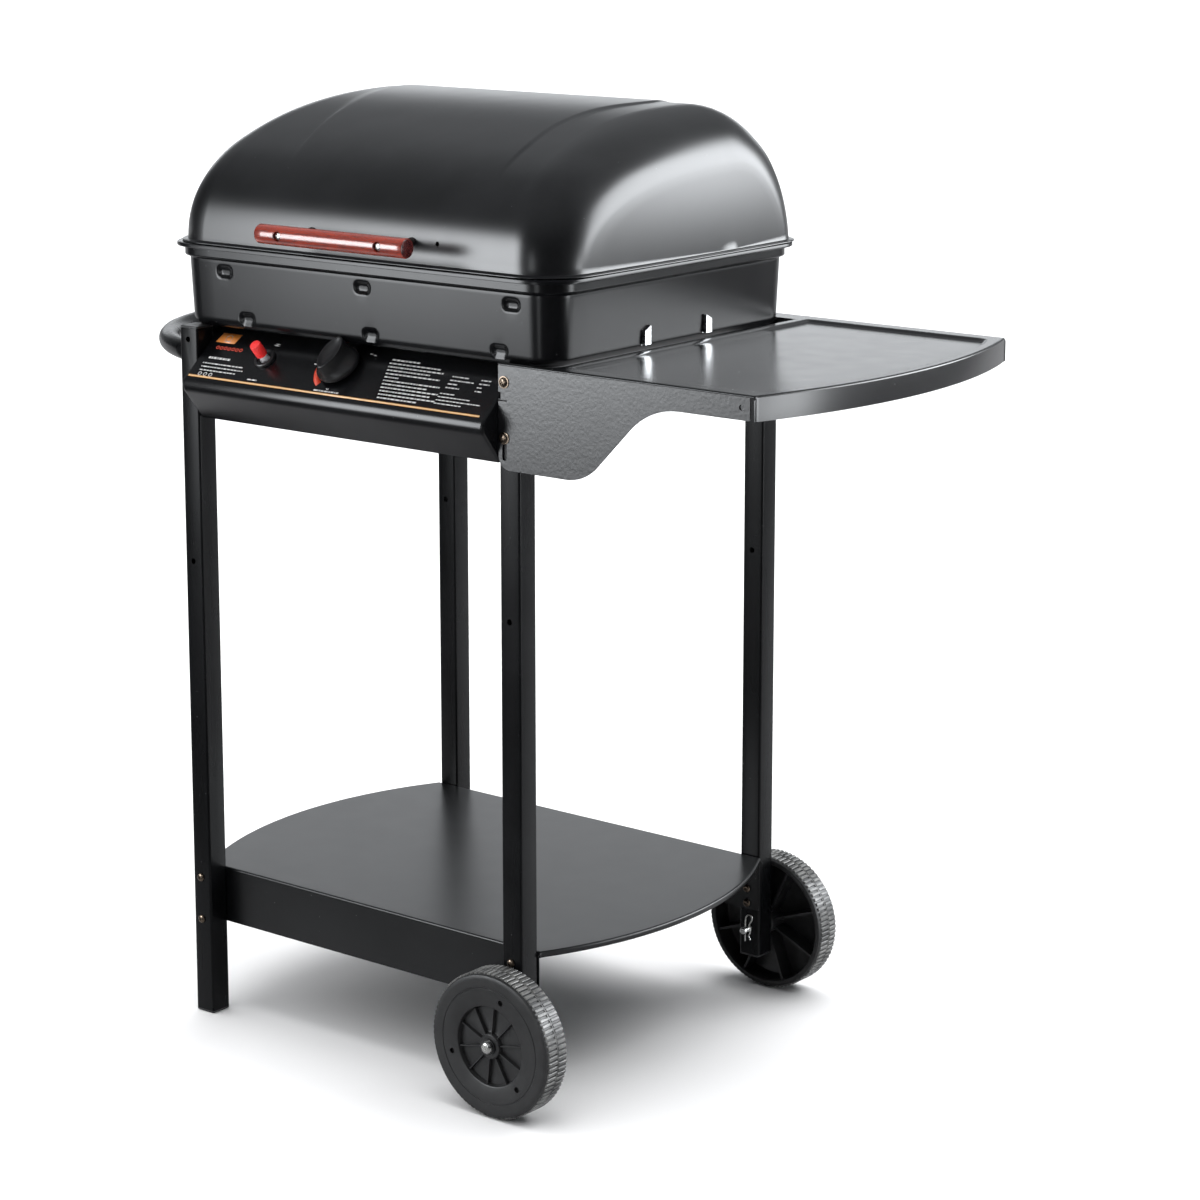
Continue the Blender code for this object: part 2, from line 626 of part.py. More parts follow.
def burner():
    """Straight pressed bar burner with its inlet under the middle, fed by the venturi."""
    z = BOX_BOTTOM + SHEET + 0.0240
    half = 0.170
    outer, wall = 0.0140, 0.0010
    mesh = bmesh.new()
    rod(mesh, (BOX_X - half, BOX_Y, z), (BOX_X + half, BOX_Y, z), outer, 20)
    made = finish("burner", mesh, CAST_IRON)
    hollow = bmesh.new()
    rod(hollow, (BOX_X - half + wall, BOX_Y, z), (BOX_X + half - wall, BOX_Y, z), outer - wall, 20)
    cut(made, hollow, "hollow")
    inlet = bmesh.new()
    rod(inlet, (BOX_X, BOX_Y, z - outer - 0.01), (BOX_X, BOX_Y, z), 0.0080, 16)
    cut(made, inlet, "inlet")
    feet = bmesh.new()
    for x in (-0.150, 0.150):
        box(feet, (BOX_X + x - 0.008, BOX_Y - 0.010, BOX_BOTTOM + SHEET + GAP),
            (BOX_X + x + 0.008, BOX_Y + 0.010, z - outer + 0.002))
    join(made, feet, "feet")
    return z - outer


def venturi(burner_foot):
    """Air-and-gas tube from the valve's orifice, back and up through the firebox floor."""
    low = on_face(KNOB_X, KNOB_DOWN, -0.034)
    start = low + Vector((0, 0.0260, 0))
    bend = 0.030
    top = Vector((BOX_X, BOX_Y, burner_foot - GAP - 0.0004))
    path = [start, start + Vector((0, 0.030, 0))]
    across = Vector((BOX_X - start.x, 0, 0))
    for k in range(1, 6):
        share = k / 6
        path.append(start + Vector((0, 0.030 + 0.060 * share, 0)) + across * (3 * share ** 2 - 2 * share ** 3))
    path.append(start + Vector((0, 0.090, 0)) + across)
    level = Vector((BOX_X, BOX_Y - bend, start.z))
    path.append(level)
    for k in range(1, 6):
        angle = math.radians(90 * k / 5)
        path.append(level + Vector((0, bend * math.sin(angle), bend * (1 - math.cos(angle)))))
    path.append(top)
    mesh = bmesh.new()
    pipe(mesh, path, 0.0095, 0.0083, 12)
    finish("venturi_tube", mesh, ZINC)


def wire_grid(name, half_x, half_y, corner, z, wire, pitch, paint, lift=0.0):
    """Rounded frame of wire with parallel bars across it, all welded into one piece."""
    frame = bmesh.new()
    sides = 8
    ring = rounded(half_x - wire, half_y - wire, corner, z, 4)
    count = len(ring)
    rings = []
    for k in range(count):
        along = (ring[(k + 1) % count] - ring[k - 1]).normalized()
        out = along.cross(Z_AXIS)
        rings.append([ring[k] + out * wire * math.cos(2 * math.pi * i / sides)
                      + Z_AXIS * wire * math.sin(2 * math.pi * i / sides) for i in range(sides)])
    loft(frame, rings, closed=True)
    made = finish(name, frame, paint)
    bars = bmesh.new()
    number = int((half_x - corner * 0.6) / pitch)
    for k in range(-number, number + 1):
        x = BOX_X + k * pitch
        rod(bars, (x, BOX_Y - half_y + 0.4 * wire, z + lift), (x, BOX_Y + half_y - 0.4 * wire, z + lift),
            0.8 * wire, 6)
    join(made, bars, "bars")
    return made


def lava_rocks(low):
    """Bed of lava rock: one lumpy slab made of overlapping faceted lumps."""
    half_x, half_y = 0.215, 0.150
    columns, rows = 17, 12
    mesh = bmesh.new()
    def height(i, j):
        edge = min(i, j, columns - i, rows - j)
        wave = math.sin(2.1 * i + 0.7 * j) + math.sin(1.3 * j - 0.9 * i + 1.0) + math.sin(3.7 * i + 2.9 * j)
        return low + 0.010 + min(edge, 1) * 0.004 + 0.0016 * wave
    top = [[mesh.verts.new((BOX_X - half_x + 2 * half_x * i / columns,
                            BOX_Y - half_y + 2 * half_y * j / rows, height(i, j)))
            for j in range(rows + 1)] for i in range(columns + 1)]
    base = [[mesh.verts.new((v.co.x, v.co.y, low)) for v in line] for line in top]
    for i in range(columns):
        for j in range(rows):
            mesh.faces.new((top[i][j], top[i + 1][j], top[i + 1][j + 1], top[i][j + 1]))
            mesh.faces.new((base[i][j + 1], base[i + 1][j + 1], base[i + 1][j], base[i][j]))
    for i in range(columns):
        for j in (0, rows):
            mesh.faces.new((top[i][j], base[i][j], base[i + 1][j], top[i + 1][j]))
    for j in range(rows):
        for i in (0, columns):
            mesh.faces.new((top[i][j + 1], base[i][j + 1], base[i][j], top[i][j]))
    bmesh.ops.triangulate(mesh, faces=mesh.faces)
    finish("lava_rocks", mesh, ROCK, smooth=10)


# ---- lid ----------------------------------------------------------------------------------------
def lid_stations(corner_steps=5, cap_steps=3, spans=6):
    """Lines round the lid, left to right: (side, part, share) with part cap, round or middle."""
    cap = [("cap", k / cap_steps) for k in range(cap_steps)]
    cap += [("round", k / corner_steps) for k in range(corner_steps + 1)]
    middle = [(1, "middle", -1 + 2 * k / spans) for k in range(1, spans)]
    return [(-1, *line) for line in cap] + middle + [(1, *line) for line in reversed(cap)]


def lid_point(station, turn, inset):
    """Point of the lid's shell; turn runs from 0 at the front edge to 1 at the back edge."""
    side, part, share = station
    c, s = math.cos(math.pi * turn), max(math.sin(math.pi * turn), 0.0)
    corner = LID_ROUND[0] + (LID_ROUND[1] - LID_ROUND[0]) * turn + LID_ROUND[2] * s - inset
    half_x, height = LID_X - inset, LID_HEIGHT - max(inset, 0)
    half_y = LID_Y + (LID_CROWN_Y if turn < 0.5 else -LID_CROWN_Y) - inset
    if part == "cap":
        x, half_y, height = half_x, share * (half_y - corner), share * (height - corner)
    elif part == "round":
        drop = corner * (1 - math.sin(math.pi / 2 * share))
        x = half_x - corner * (1 - math.cos(math.pi / 2 * share))
        half_y, height = half_y - drop, height - drop
    else:
        x = share * (half_x - corner)
    power = 2 / (LID_CURVE[1] + (LID_CURVE[0] - LID_CURVE[1]) * (1 + c) / 2)
    y = LID_CROWN_Y - half_y * math.copysign(abs(c) ** power, c)
    rise = height * s ** power
    crown = max(1 - (y / LID_Y) ** 2, 0) * (1 - (rise / LID_HEIGHT) ** 2)
    x *= side * (1 + LID_BULGE / LID_X * crown - LID_LEAN / LID_X * (rise / LID_HEIGHT) ** 2)
    return Vector((BOX_X + x, BOX_Y + y, LID_BASE + rise))


def lid_front(z):
    """How far forward the lid's front wall is at a height."""
    power = 2 / LID_CURVE[0]
    s = ((z - LID_BASE) / LID_HEIGHT) ** (1 / power)
    return BOX_Y + LID_CROWN_Y - (LID_Y + LID_CROWN_Y) * (1 - s * s) ** (power / 2)


def lid_shell(mesh, inset, turns=22):
    """Half-barrel surface; returns its base loop of vertices, front edge first."""
    grid = []
    for station in lid_stations():
        if station[1:] == ("cap", 0.0):
            grid.append([mesh.verts.new(lid_point(station, 0, inset))])
        else:
            grid.append([mesh.verts.new(lid_point(station, j / turns, inset)) for j in range(turns + 1)])
    for left, right in zip(grid, grid[1:]):
        for j in range(turns):
            corners = [left[min(j, len(left) - 1)], right[min(j, len(right) - 1)],
                       right[min(j + 1, len(right) - 1)], left[min(j + 1, len(left) - 1)]]
            mesh.faces.new(list(dict.fromkeys(corners)))
    front = [line[0] for line in grid]
    back = [line[-1] for line in grid[1:-1]]
    return front + list(reversed(back))


def lid_edge(mesh, inset, z):
    """Loop of new vertices round the lid at one height, matching a shell's base loop."""
    stations = lid_stations()
    front = [lid_point(station, 0, inset) for station in stations]
    back = [lid_point(station, 1, inset) for station in stations[1:-1]]
    return [mesh.verts.new((p.x, p.y, z)) for p in front + list(reversed(back))]


def lid():
    mesh = bmesh.new()
    outer = lid_shell(mesh, 0)
    inner = lid_shell(mesh, SHEET)
    low = RIM_Z + 0.0008
    loops = [outer, lid_edge(mesh, -LID_FLANGE, low + 0.0022), lid_edge(mesh, -LID_FLANGE, low),
             lid_edge(mesh, -LID_FLANGE + SHEET, low), lid_edge(mesh, -LID_FLANGE + SHEET, low + 0.0011),
             inner]
    count = len(outer)
    for first, second in zip(loops, loops[1:]):
        for i in range(count):
            j = (i + 1) % count
            mesh.faces.new((first[i], first[j], second[j], second[i]))
    made = finish("lid", mesh, ENAMEL, (BOX_X, HINGE_Y, HINGE_Z))
    holes = bmesh.new()
    front = BOX_Y - LID_Y
    for x in (BAR_X - BAR_SCREWS / 2, BAR_X + BAR_SCREWS / 2, BAR_X + BAR_SCREWS / 2 + 0.0325):
        rod(holes, (x, front - 0.006, BAR_Z - 0.003), (x, front + 0.008, BAR_Z - 0.003), 0.0022, 12)
    cut(made, holes, "handle_holes")


def lid_handle():
    pivot = (BOX_X, HINGE_Y, HINGE_Z)
    z = BAR_Z - 0.003
    bar = bmesh.new()
    rod(bar, (BAR_X - BAR_LENGTH / 2, BAR_Y, z), (BAR_X + BAR_LENGTH / 2, BAR_Y, z), BAR_R, 24)
    handle = finish("lid_handle", bar, RED_WOOD, pivot)
    bores = bmesh.new()
    screws = (BAR_X - BAR_SCREWS / 2, BAR_X + BAR_SCREWS / 2)
    for x in screws:
        spindle(bores, [(0.0048, -0.0120), (0.0048, -0.0053), (0.0023, -0.0053), (0.0023, 0.0120)],
                (x, BAR_Y, z), Y_AXIS, 16)
    cut(handle, bores, "screw_bores")
    wall = lid_front(BAR_Z - 0.0070)
    for name, x in zip(("left", "right"), screws):
        post = bmesh.new()
        turned(post, [(0.0023, 0), (0.0042, 0), (0.0042, 1), (0.0023, 1)], (0, 0, 0), Z_AXIS, 16)
        length = wall - GAP - 0.0002 - (BAR_Y + BAR_R + 0.0002)
        bmesh.ops.transform(post, verts=post.verts,
                            matrix=Matrix.Translation((x, BAR_Y + BAR_R + 0.0002, z))
                            @ turn_to(Y_AXIS) @ Matrix.Diagonal((1, 1, length, 1)))
        finish(f"handle_standoff_{name}", post, ZINC, pivot)
        screw = bmesh.new()
        spindle(screw, [(0.0026, -0.0086), (0.0042, -0.0074), (0.0042, -0.0056), (0.0018, -0.0056),
                        (0.0018, 0.0430)], (x, BAR_Y, z), Y_AXIS, 14)
        finish(f"handle_screw_{name}", screw, ZINC, pivot)


def hinge(side):
    """Two-leaf hinge behind the lid: a leaf on the lid, a leaf on the firebox, and a pin."""
    x = BOX_X + SIDES[side] * HINGE_X
    pivot = (BOX_X, HINGE_Y, HINGE_Z)
    bore = 0.0020
    knuckle = [(bore, 0), (HINGE_R, 0), (HINGE_R, 1), (bore, 1)]

    def barrel(mesh, start, length):
        part = bmesh.new()
        turned(part, knuckle, (0, 0, 0), Z_AXIS, 16)
        bmesh.ops.transform(part, verts=part.verts, matrix=Matrix.Translation((start, HINGE_Y, HINGE_Z))
                            @ turn_to(X_AXIS) @ Matrix.Diagonal((1, 1, length, 1)))
        data = bpy.data.meshes.new("barrel")
        part.to_mesh(data)
        part.free()
        mesh.from_mesh(data)
        bpy.data.meshes.remove(data)

    clear = bmesh.new()
    rod(clear, (x - 0.04, HINGE_Y, HINGE_Z), (x + 0.04, HINGE_Y, HINGE_Z), bore, 16)
    lid_back = BOX_Y + LID_Y + GAP
    leaf = bmesh.new()
    barrel(leaf, x - 0.0085, 0.0170)
    made = finish(f"hinge_lid_leaf_{side}", leaf, BLACK_PAINT, pivot)
    arm = bmesh.new()
    outline = [(lid_back, HINGE_Z + 0.0022), (HINGE_Y, HINGE_Z + 0.0022),
               (HINGE_Y, HINGE_Z + 0.0037), (lid_back + 0.0015, HINGE_Z + 0.0037),
               (lid_back + 0.0015, HINGE_Z + 0.024), (lid_back, HINGE_Z + 0.024)]
    prism(arm, outline, lambda u, v, w: (x - 0.0080 + w, u, v), 0.0160)
    join(made, arm, "arm")
    cut(made, clear, "bore")

    box_back = BOX_Y + RIM_Y
    wall = BOX_Y + RIM_Y - BAND - LEDGE
    leaf = bmesh.new()
    barrel(leaf, x - 0.0240, 0.0150)
    made = finish(f"hinge_box_leaf_{side}", leaf, BLACK_PAINT)
    other = bmesh.new()
    barrel(other, x + 0.0090, 0.0150)
    back = box_back + 0.0010
    outline = [(HINGE_Y, HINGE_Z - 0.0037), (HINGE_Y, HINGE_Z - 0.0022), (back, HINGE_Z - 0.0022),
               (back, RIM_Z - 0.0260), (wall + 0.0007, RIM_Z - 0.0260), (wall + 0.0007, RIM_Z - 0.0480),
               (wall + 0.0022, RIM_Z - 0.0480), (wall + 0.0022, RIM_Z - 0.0275),
               (back + 0.0015, RIM_Z - 0.0275), (back + 0.0015, HINGE_Z - 0.0037)]
    plate = bmesh.new()
    prism(plate, outline, lambda u, v, w: (x - 0.0235 + w, u, v), 0.0470)
    join(made, plate, "plate")
    join(made, other, "second_barrel")
    window = block((x - 0.0088, back + 0.0016, HINGE_Z - 0.0050), (x + 0.0088, HINGE_Y + 0.01, HINGE_Z + 0.01))
    cut(made, window, "window")
    clear = bmesh.new()
    rod(clear, (x - 0.04, HINGE_Y, HINGE_Z), (x + 0.04, HINGE_Y, HINGE_Z), bore, 16)
    cut(made, clear, "bore")

    pin = bmesh.new()
    reach = 0.0250
    rod(pin, (x - reach, HINGE_Y, HINGE_Z), (x + reach, HINGE_Y, HINGE_Z), bore - 0.0002, 14)
    made = finish(f"hinge_pin_{side}", pin, ZINC)
    heads = bmesh.new()
    for way in (-1, 1):
        rod(heads, (x + way * (reach - 0.0003), HINGE_Y, HINGE_Z),
            (x + way * (reach + 0.0012), HINGE_Y, HINGE_Z), 0.0031, 14)
    join(made, heads, "heads")


# ---- wheels -------------------------------------------------------------------------------------
def wheel(end):
    sy = ENDS[end]
    inner = sy * (CART_Y / 2 + WHEEL_GAP)
    centre = (LEG_X, inner, WHEEL_R)
    axis = Y_AXIS * sy
    bore = AXLE_R + 0.0002
    profile = [(bore, -0.0020), (0.0130, -0.0020), (0.0130, 0.0210), (0.0600, 0.0230),
               (0.0640, 0.0200), (0.0650, 0.0010), (0.0715, 0.0000), (WHEEL_R, 0.0025),
               (WHEEL_R, WHEEL_W - 0.0025), (0.0715, WHEEL_W), (0.0420, WHEEL_W - 0.0005),
               (0.0395, WHEEL_W - 0.0045), (0.0150, WHEEL_W - 0.0045), (0.0130, WHEEL_W),
               (bore, WHEEL_W)]
    mesh = bmesh.new()
    turned(mesh, profile, centre, axis, 36)
    finish(f"wheel_{end}", mesh, BLACK_PLASTIC, centre)

    outer = inner + sy * WHEEL_W
    washer = bmesh.new()
    turned(washer, [(AXLE_R + 0.0002, GAP), (0.0095, GAP), (0.0095, WASHER), (AXLE_R + 0.0002, WASHER)],
           (LEG_X, outer, WHEEL_R), axis, 20)
    finish(f"axle_washer_{end}", washer, ZINC)

    axle = bmesh.new()
    head = WASHER + GAP
    tail = -(WHEEL_W + WHEEL_GAP + TUBE + 0.0130)
    spindle(axle, [(0.0032, tail), (AXLE_R, tail + 0.001), (AXLE_R, head), (0.0065, head),
                   (0.0060, head + 0.0022), (0.0040, WASHER + AXLE_HEAD - 0.0010),
                   (0.0015, WASHER + AXLE_HEAD)],
            (LEG_X, outer, WHEEL_R), axis, 20)
    made = finish(f"axle_bolt_{end}", axle, ZINC)
    clip_y = outer + sy * (tail + 0.0060)
    hole = bmesh.new()
    rod(hole, (LEG_X, clip_y, WHEEL_R - 0.01), (LEG_X, clip_y, WHEEL_R + 0.01), 0.0012, 10)
    cut(made, hole, "clip_hole")

    path = [(LEG_X, clip_y, WHEEL_R - 0.012), (LEG_X, clip_y, WHEEL_R + 0.010)]
    loop = (LEG_X + 0.0048, WHEEL_R + 0.0135)
    path += [(x, clip_y, z) for x, z in arc(loop, 0.0048, 170, -20, 8)]
    path += [(x, clip_y, z) for x, z in arc((LEG_X, WHEEL_R), 0.0058, 38, -38, 5)]
    path += [(LEG_X + 0.0068, clip_y, WHEEL_R - 0.010)]
    clip = bmesh.new()
    pipe(clip, path, 0.0008, 0.0, 6)
    finish(f"axle_clip_{end}", clip, ZINC)


def bracket_screw(end, level, z):
    sy = ENDS[end]
    face = sy * (CART_Y / 2 + GAP + PLATE)
    mesh = bmesh.new()
    spindle(mesh, [(0.0029, -0.010), (0.0029, GAP), (0.0058, GAP), (0.0054, 0.0022),
                   (0.0034, 0.0033), (0.0012, 0.0036)], (LEG_X, face, z), Y_AXIS * sy, 16)
    finish(f"shelf_screw_{end}_{level}", mesh, DARK_SCREW)


# ---- assembly -----------------------------------------------------------------------------------
for end_name in ENDS:
    for side_name in SIDES:
        leg(end_name, side_name)
    wheel(end_name)
    bracket_screw(end_name, "upper", BRACKET_Z[0])
    bracket_screw(end_name, "lower", BRACKET_Z[1])
for side_name in SIDES:
    side_rail(side_name)
    grate_support(side_name)
    hinge(side_name)
bottom_tray()
push_handle()
side_shelf()
control_panel()
gas_controls()
igniter()
firebox()
venturi(burner())
wire_grid("rock_grate", 0.2250, 0.1650, 0.012, SUPPORT_Z + 0.0022, 0.0020, 0.0300, ZINC)
lava_rocks(SUPPORT_Z + 0.0048)
wire_grid("cooking_grid", RIM_X - BAND - SHEET - GRID_GAP, RIM_Y - BAND - SHEET - GRID_GAP,
          GRID_CORNER, LEDGE_Z + 0.0055, 0.0025, 0.0150, CHROME)
lid()
lid_handle()
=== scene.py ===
"""Looks for the gas barbecue grill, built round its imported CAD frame.

Every length is in metres.  Pieces are drawn in the cart's own frame, whose origin is midway between
the four legs on the floor, and are moved by CART as they are made.
"""
import math
import random

import bmesh
import bpy
from mathutils import Matrix, Vector, noise


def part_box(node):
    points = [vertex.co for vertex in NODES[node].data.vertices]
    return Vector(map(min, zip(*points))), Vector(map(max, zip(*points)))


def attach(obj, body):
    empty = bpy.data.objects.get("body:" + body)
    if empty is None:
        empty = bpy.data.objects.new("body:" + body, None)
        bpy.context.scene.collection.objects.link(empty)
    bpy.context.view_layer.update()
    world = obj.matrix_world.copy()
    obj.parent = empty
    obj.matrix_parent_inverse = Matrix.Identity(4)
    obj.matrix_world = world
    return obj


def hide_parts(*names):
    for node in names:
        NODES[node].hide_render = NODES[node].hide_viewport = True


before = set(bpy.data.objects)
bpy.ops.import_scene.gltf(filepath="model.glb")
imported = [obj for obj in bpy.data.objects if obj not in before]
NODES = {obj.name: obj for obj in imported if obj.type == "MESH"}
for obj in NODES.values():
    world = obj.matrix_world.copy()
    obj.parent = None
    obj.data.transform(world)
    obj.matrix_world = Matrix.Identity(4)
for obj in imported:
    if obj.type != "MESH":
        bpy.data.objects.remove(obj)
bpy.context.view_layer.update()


def middle(low_node, high_node, axis):
    return (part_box(low_node)[0][axis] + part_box(high_node)[1][axis]) / 2


CART = Vector((middle("leg_front_left", "leg_front_right", 0),
               middle("leg_front_left", "leg_back_left", 1), 0))

# ---- sizes, as in the CAD -----------------------------------------------------------------------
GAP, SHEET, PLATE = 0.0003, 0.0012, 0.0015
TUBE, TUBE_WALL = 0.025, 0.0013
LEG_X, LEG_Y = 0.2155, 0.2025
LEG_TOP, CAP, RIGHT_LEG_BOTTOM = 0.7455, 0.0020, 0.046
BRACKET_Z = (0.7338, 0.6794)
BRACKET_LOW = {"front": 0.6480, "back": 0.6570}
TRAY_SCREW_Z = (0.1510, 0.1045)
MID_HOLE_Z = 0.498
WHEEL_R, WHEEL_W, WHEEL_GAP, AXLE_R, WASHER = 0.075, 0.033, 0.0035, 0.004, 0.0012
TRAY_TOP, TRAY_DEPTH, TRAY_LIP, TRAY_CORNER_X, TRAY_BOW = 0.1585, 0.0605, 0.006, 0.2295, 0.0495
HANDLE_Z, HANDLE_R, HANDLE_REACH = 0.7195, 0.0110, 0.144
SHELF_TOP, SHELF_CORNER_X, SHELF_BOW, SHELF_LIP, SHELF_LEFT_X = 0.7520, 0.5040, 0.0385, 0.0240, 0.2680
BOX_X, BOX_Y = 0.0150, -0.0120
RIM_X, RIM_Y, RIM_CORNER, RIM_Z = 0.2640, 0.2100, 0.0460, 0.8350
BOX_BOTTOM, BAND, LEDGE, LEDGE_Z, TAPER, FLOOR_RADIUS = 0.7480, 0.0080, 0.0053, 0.8195, 0.0030, 0.0100
GRID_GAP, GRID_CORNER = 0.0035, 0.0415
LID_BASE, LID_HEIGHT, LID_X, LID_Y, LID_CROWN_Y = 0.8385, 0.1435, 0.2565, 0.2025, 0.0800
LID_ROUND, LID_CURVE = (0.0490, 0.0310, 0.0190), (2.30, 2.11)
LID_BULGE, LID_FLANGE, LID_LEAN = 0.0040, 0.0060, 0.0080
BAR_Y, BAR_Z, BAR_R, BAR_X, BAR_LENGTH, BAR_SCREWS = -0.2550, 0.8590, 0.0098, 0.0265, 0.1940, 0.1320
PANEL_TOP, PANEL_NOSE, PANEL_FOOT = (-0.1870, 0.7414), (-0.2345, 0.7000), (-0.2125, 0.6535)
NOSE_R, PANEL_HALF, PANEL_RISE = 0.0125, 0.2025, 0.0080
KNOB_X, KNOB_DOWN, KNOB_R = -0.0090, 0.0272, 0.0235
BUTTON_X, BUTTON_DOWN = -0.1117, 0.0290
TAB_Y, TAB_Z, SUPPORT_Z = (BOX_Y - 0.0505, BOX_Y + 0.0505), 0.7565, 0.7980
AXLE_HEAD = 0.0055
CAMERA_PLACE, CAMERA_DOWN, CAMERA_TURN = Vector((2.136, -2.525, 1.246)), 11.0, 38.08
SENSOR, FOCAL_PER_FRAME, CAMERA_SHIFT = 36, 3191 / 1200, -0.12
SIDES = {"left": -1, "right": 1}
ENDS = {"front": -1, "back": 1}
X_AXIS, Y_AXIS, Z_AXIS = Vector((1, 0, 0)), Vector((0, 1, 0)), Vector((0, 0, 1))


# ---- materials ----------------------------------------------------------------------------------
class Surface:
    """A procedural material: a Principled shader and short-hands for the nodes that feed it."""

    def __init__(self, name, colour, roughness, metallic=0.0):
        self.material = bpy.data.materials.new(name)
        self.material.use_nodes = True
        self.tree = self.material.node_tree
        self.shader = self.tree.nodes["Principled BSDF"]
        self.place = self.tree.nodes.new("ShaderNodeTexCoord").outputs["Object"]
        self.normal = None
        self.set("Base Color", (*colour, 1))
        self.set("Roughness", roughness)
        self.set("Metallic", metallic)

    def set(self, socket, value):
        """Give a shader socket a value or link it to an output."""
        self._feed(self.shader.inputs[socket], value)

    def _feed(self, socket, value):
        if isinstance(value, bpy.types.NodeSocket):
            self.tree.links.new(value, socket)
        else:
            socket.default_value = value

    def _node(self, kind, values, **settings):
        made = self.tree.nodes.new(kind)
        for key, value in settings.items():
            setattr(made, key, value)
        for key, value in values.items():
            self._feed(made.inputs[key], value)
        return made

    def stretched(self, scale):
        """Coordinates stretched by a factor along each axis."""
        return self._node("ShaderNodeMapping", {"Vector": self.place, "Scale": scale}).outputs[0]

    def noise(self, scale, detail=3.0, roughness=0.5, place=None, distortion=0.0):
        values = {"Vector": place or self.place, "Scale": scale, "Detail": detail,
                  "Roughness": roughness, "Distortion": distortion}
        return self._node("ShaderNodeTexNoise", values).outputs[0]

    def cells(self, scale, feature="F1", place=None):
        values = {"Vector": place or self.place, "Scale": scale}
        return self._node("ShaderNodeTexVoronoi", values, feature=feature)

    def span(self, value, low, high, to_low=0.0, to_high=1.0):
        """Map low..high to to_low..to_high with smooth ends."""
        values = {"Value": value, "From Min": low, "From Max": high, "To Min": to_low,
                  "To Max": to_high}
        return self._node("ShaderNodeMapRange", values, interpolation_type="SMOOTHSTEP").outputs[0]

    def maths(self, operation, first, second=0.0):
        return self._node("ShaderNodeMath", {0: first, 1: second}, operation=operation).outputs[0]

    def mix(self, share, first, second):
        made = self._node("ShaderNodeMix", {0: share}, data_type="RGBA")
        for index, colour in ((6, first), (7, second)):
            self._feed(made.inputs[index], colour if isinstance(colour, bpy.types.NodeSocket)
                       else (*colour, 1))
        return made.outputs[2]

    def bump(self, height, distance, strength=1.0):
        """Add relief of so many metres."""
        values = {"Height": height, "Distance": distance, "Strength": strength}
        if self.normal:
            values["Normal"] = self.normal
        self.normal = self._node("ShaderNodeBump", values).outputs[0]
        self.set("Normal", self.normal)


def painted(name, colour, roughness, peel=0.00004, peel_scale=420, dust=0.5, specular=0.5):
    """Powder coat or enamel: orange peel, uneven gloss and a few separate dust specks."""
    s = Surface(name, colour, roughness)
    cloud = s.noise(9, 4, 0.6)
    smear = s.noise(1.0, 2, 0.5, s.stretched((38, 38, 4.5)))
    light = tuple(c * 1.5 + 0.002 for c in colour)
    base = s.mix(s.span(cloud, 0.35, 0.7), colour, light)
    speck = s.cells(95)
    chance = s._node("ShaderNodeSeparateXYZ", {0: speck.outputs["Color"]}).outputs[0]
    dot = s.maths("MULTIPLY", s.span(speck.outputs["Distance"], 0.030, 0.060, 1, 0),
                  s.span(chance, 0.72, 0.78, 0, dust))
    base = s.mix(dot, base, (0.16, 0.16, 0.165))
    s.set("Base Color", base)
    uneven = s.maths("ADD", s.span(smear, 0.2, 0.8, -0.006, 0.008), roughness)
    s.set("Roughness", s.maths("ADD", uneven, s.maths("MULTIPLY", dot, 0.35)))
    s.bump(s.noise(peel_scale, 2, 0.4), peel)
    s.bump(s.noise(2.2, 2, 0.4), 0.0006, 0.6)
    s.set("Specular IOR Level", specular)
    return s.material


def moulded(name, colour, roughness, grain=0.00003, scuff=0.0):
    """Moulded plastic with fine grain; scuff lightens its raised edges."""
    s = Surface(name, colour, roughness)
    tone = s.span(s.noise(35, 4, 0.6), 0.3, 0.75)
    light = tuple(c * 1.35 + 0.003 for c in colour)
    base = s.mix(tone, colour, light)
    if scuff:
        edge = s.tree.nodes.new("ShaderNodeNewGeometry").outputs["Pointiness"]
        worn = s.maths("MULTIPLY", s.span(edge, 0.505, 0.56), s.span(s.noise(60, 4), 0.35, 0.7, 0.2, 1))
        base = s.mix(s.maths("MULTIPLY", worn, scuff), base, (0.30, 0.30, 0.29))
    s.set("Base Color", base)
    s.set("Roughness", s.span(s.noise(90, 3), 0.3, 0.7, roughness - 0.06, roughness + 0.08))
    s.bump(s.noise(1500, 2), grain)
    return s.material


def plated(name, colour, roughness, brushed=(1, 1, 1), stain=None):
    """Plated or bare metal with fine brushing and slight staining."""
    s = Surface(name, colour, roughness, 1.0)
    streak = s.noise(300, 3, 0.6, s.stretched(brushed))
    s.set("Roughness", s.span(streak, 0.25, 0.75, roughness - 0.08, roughness + 0.12))
    patch = s.span(s.noise(55, 4, 0.65), 0.4, 0.72)
    s.set("Base Color", s.mix(patch, colour, stain or tuple(c * 0.72 for c in colour)))
    s.bump(streak, 0.00001)
    return s.material


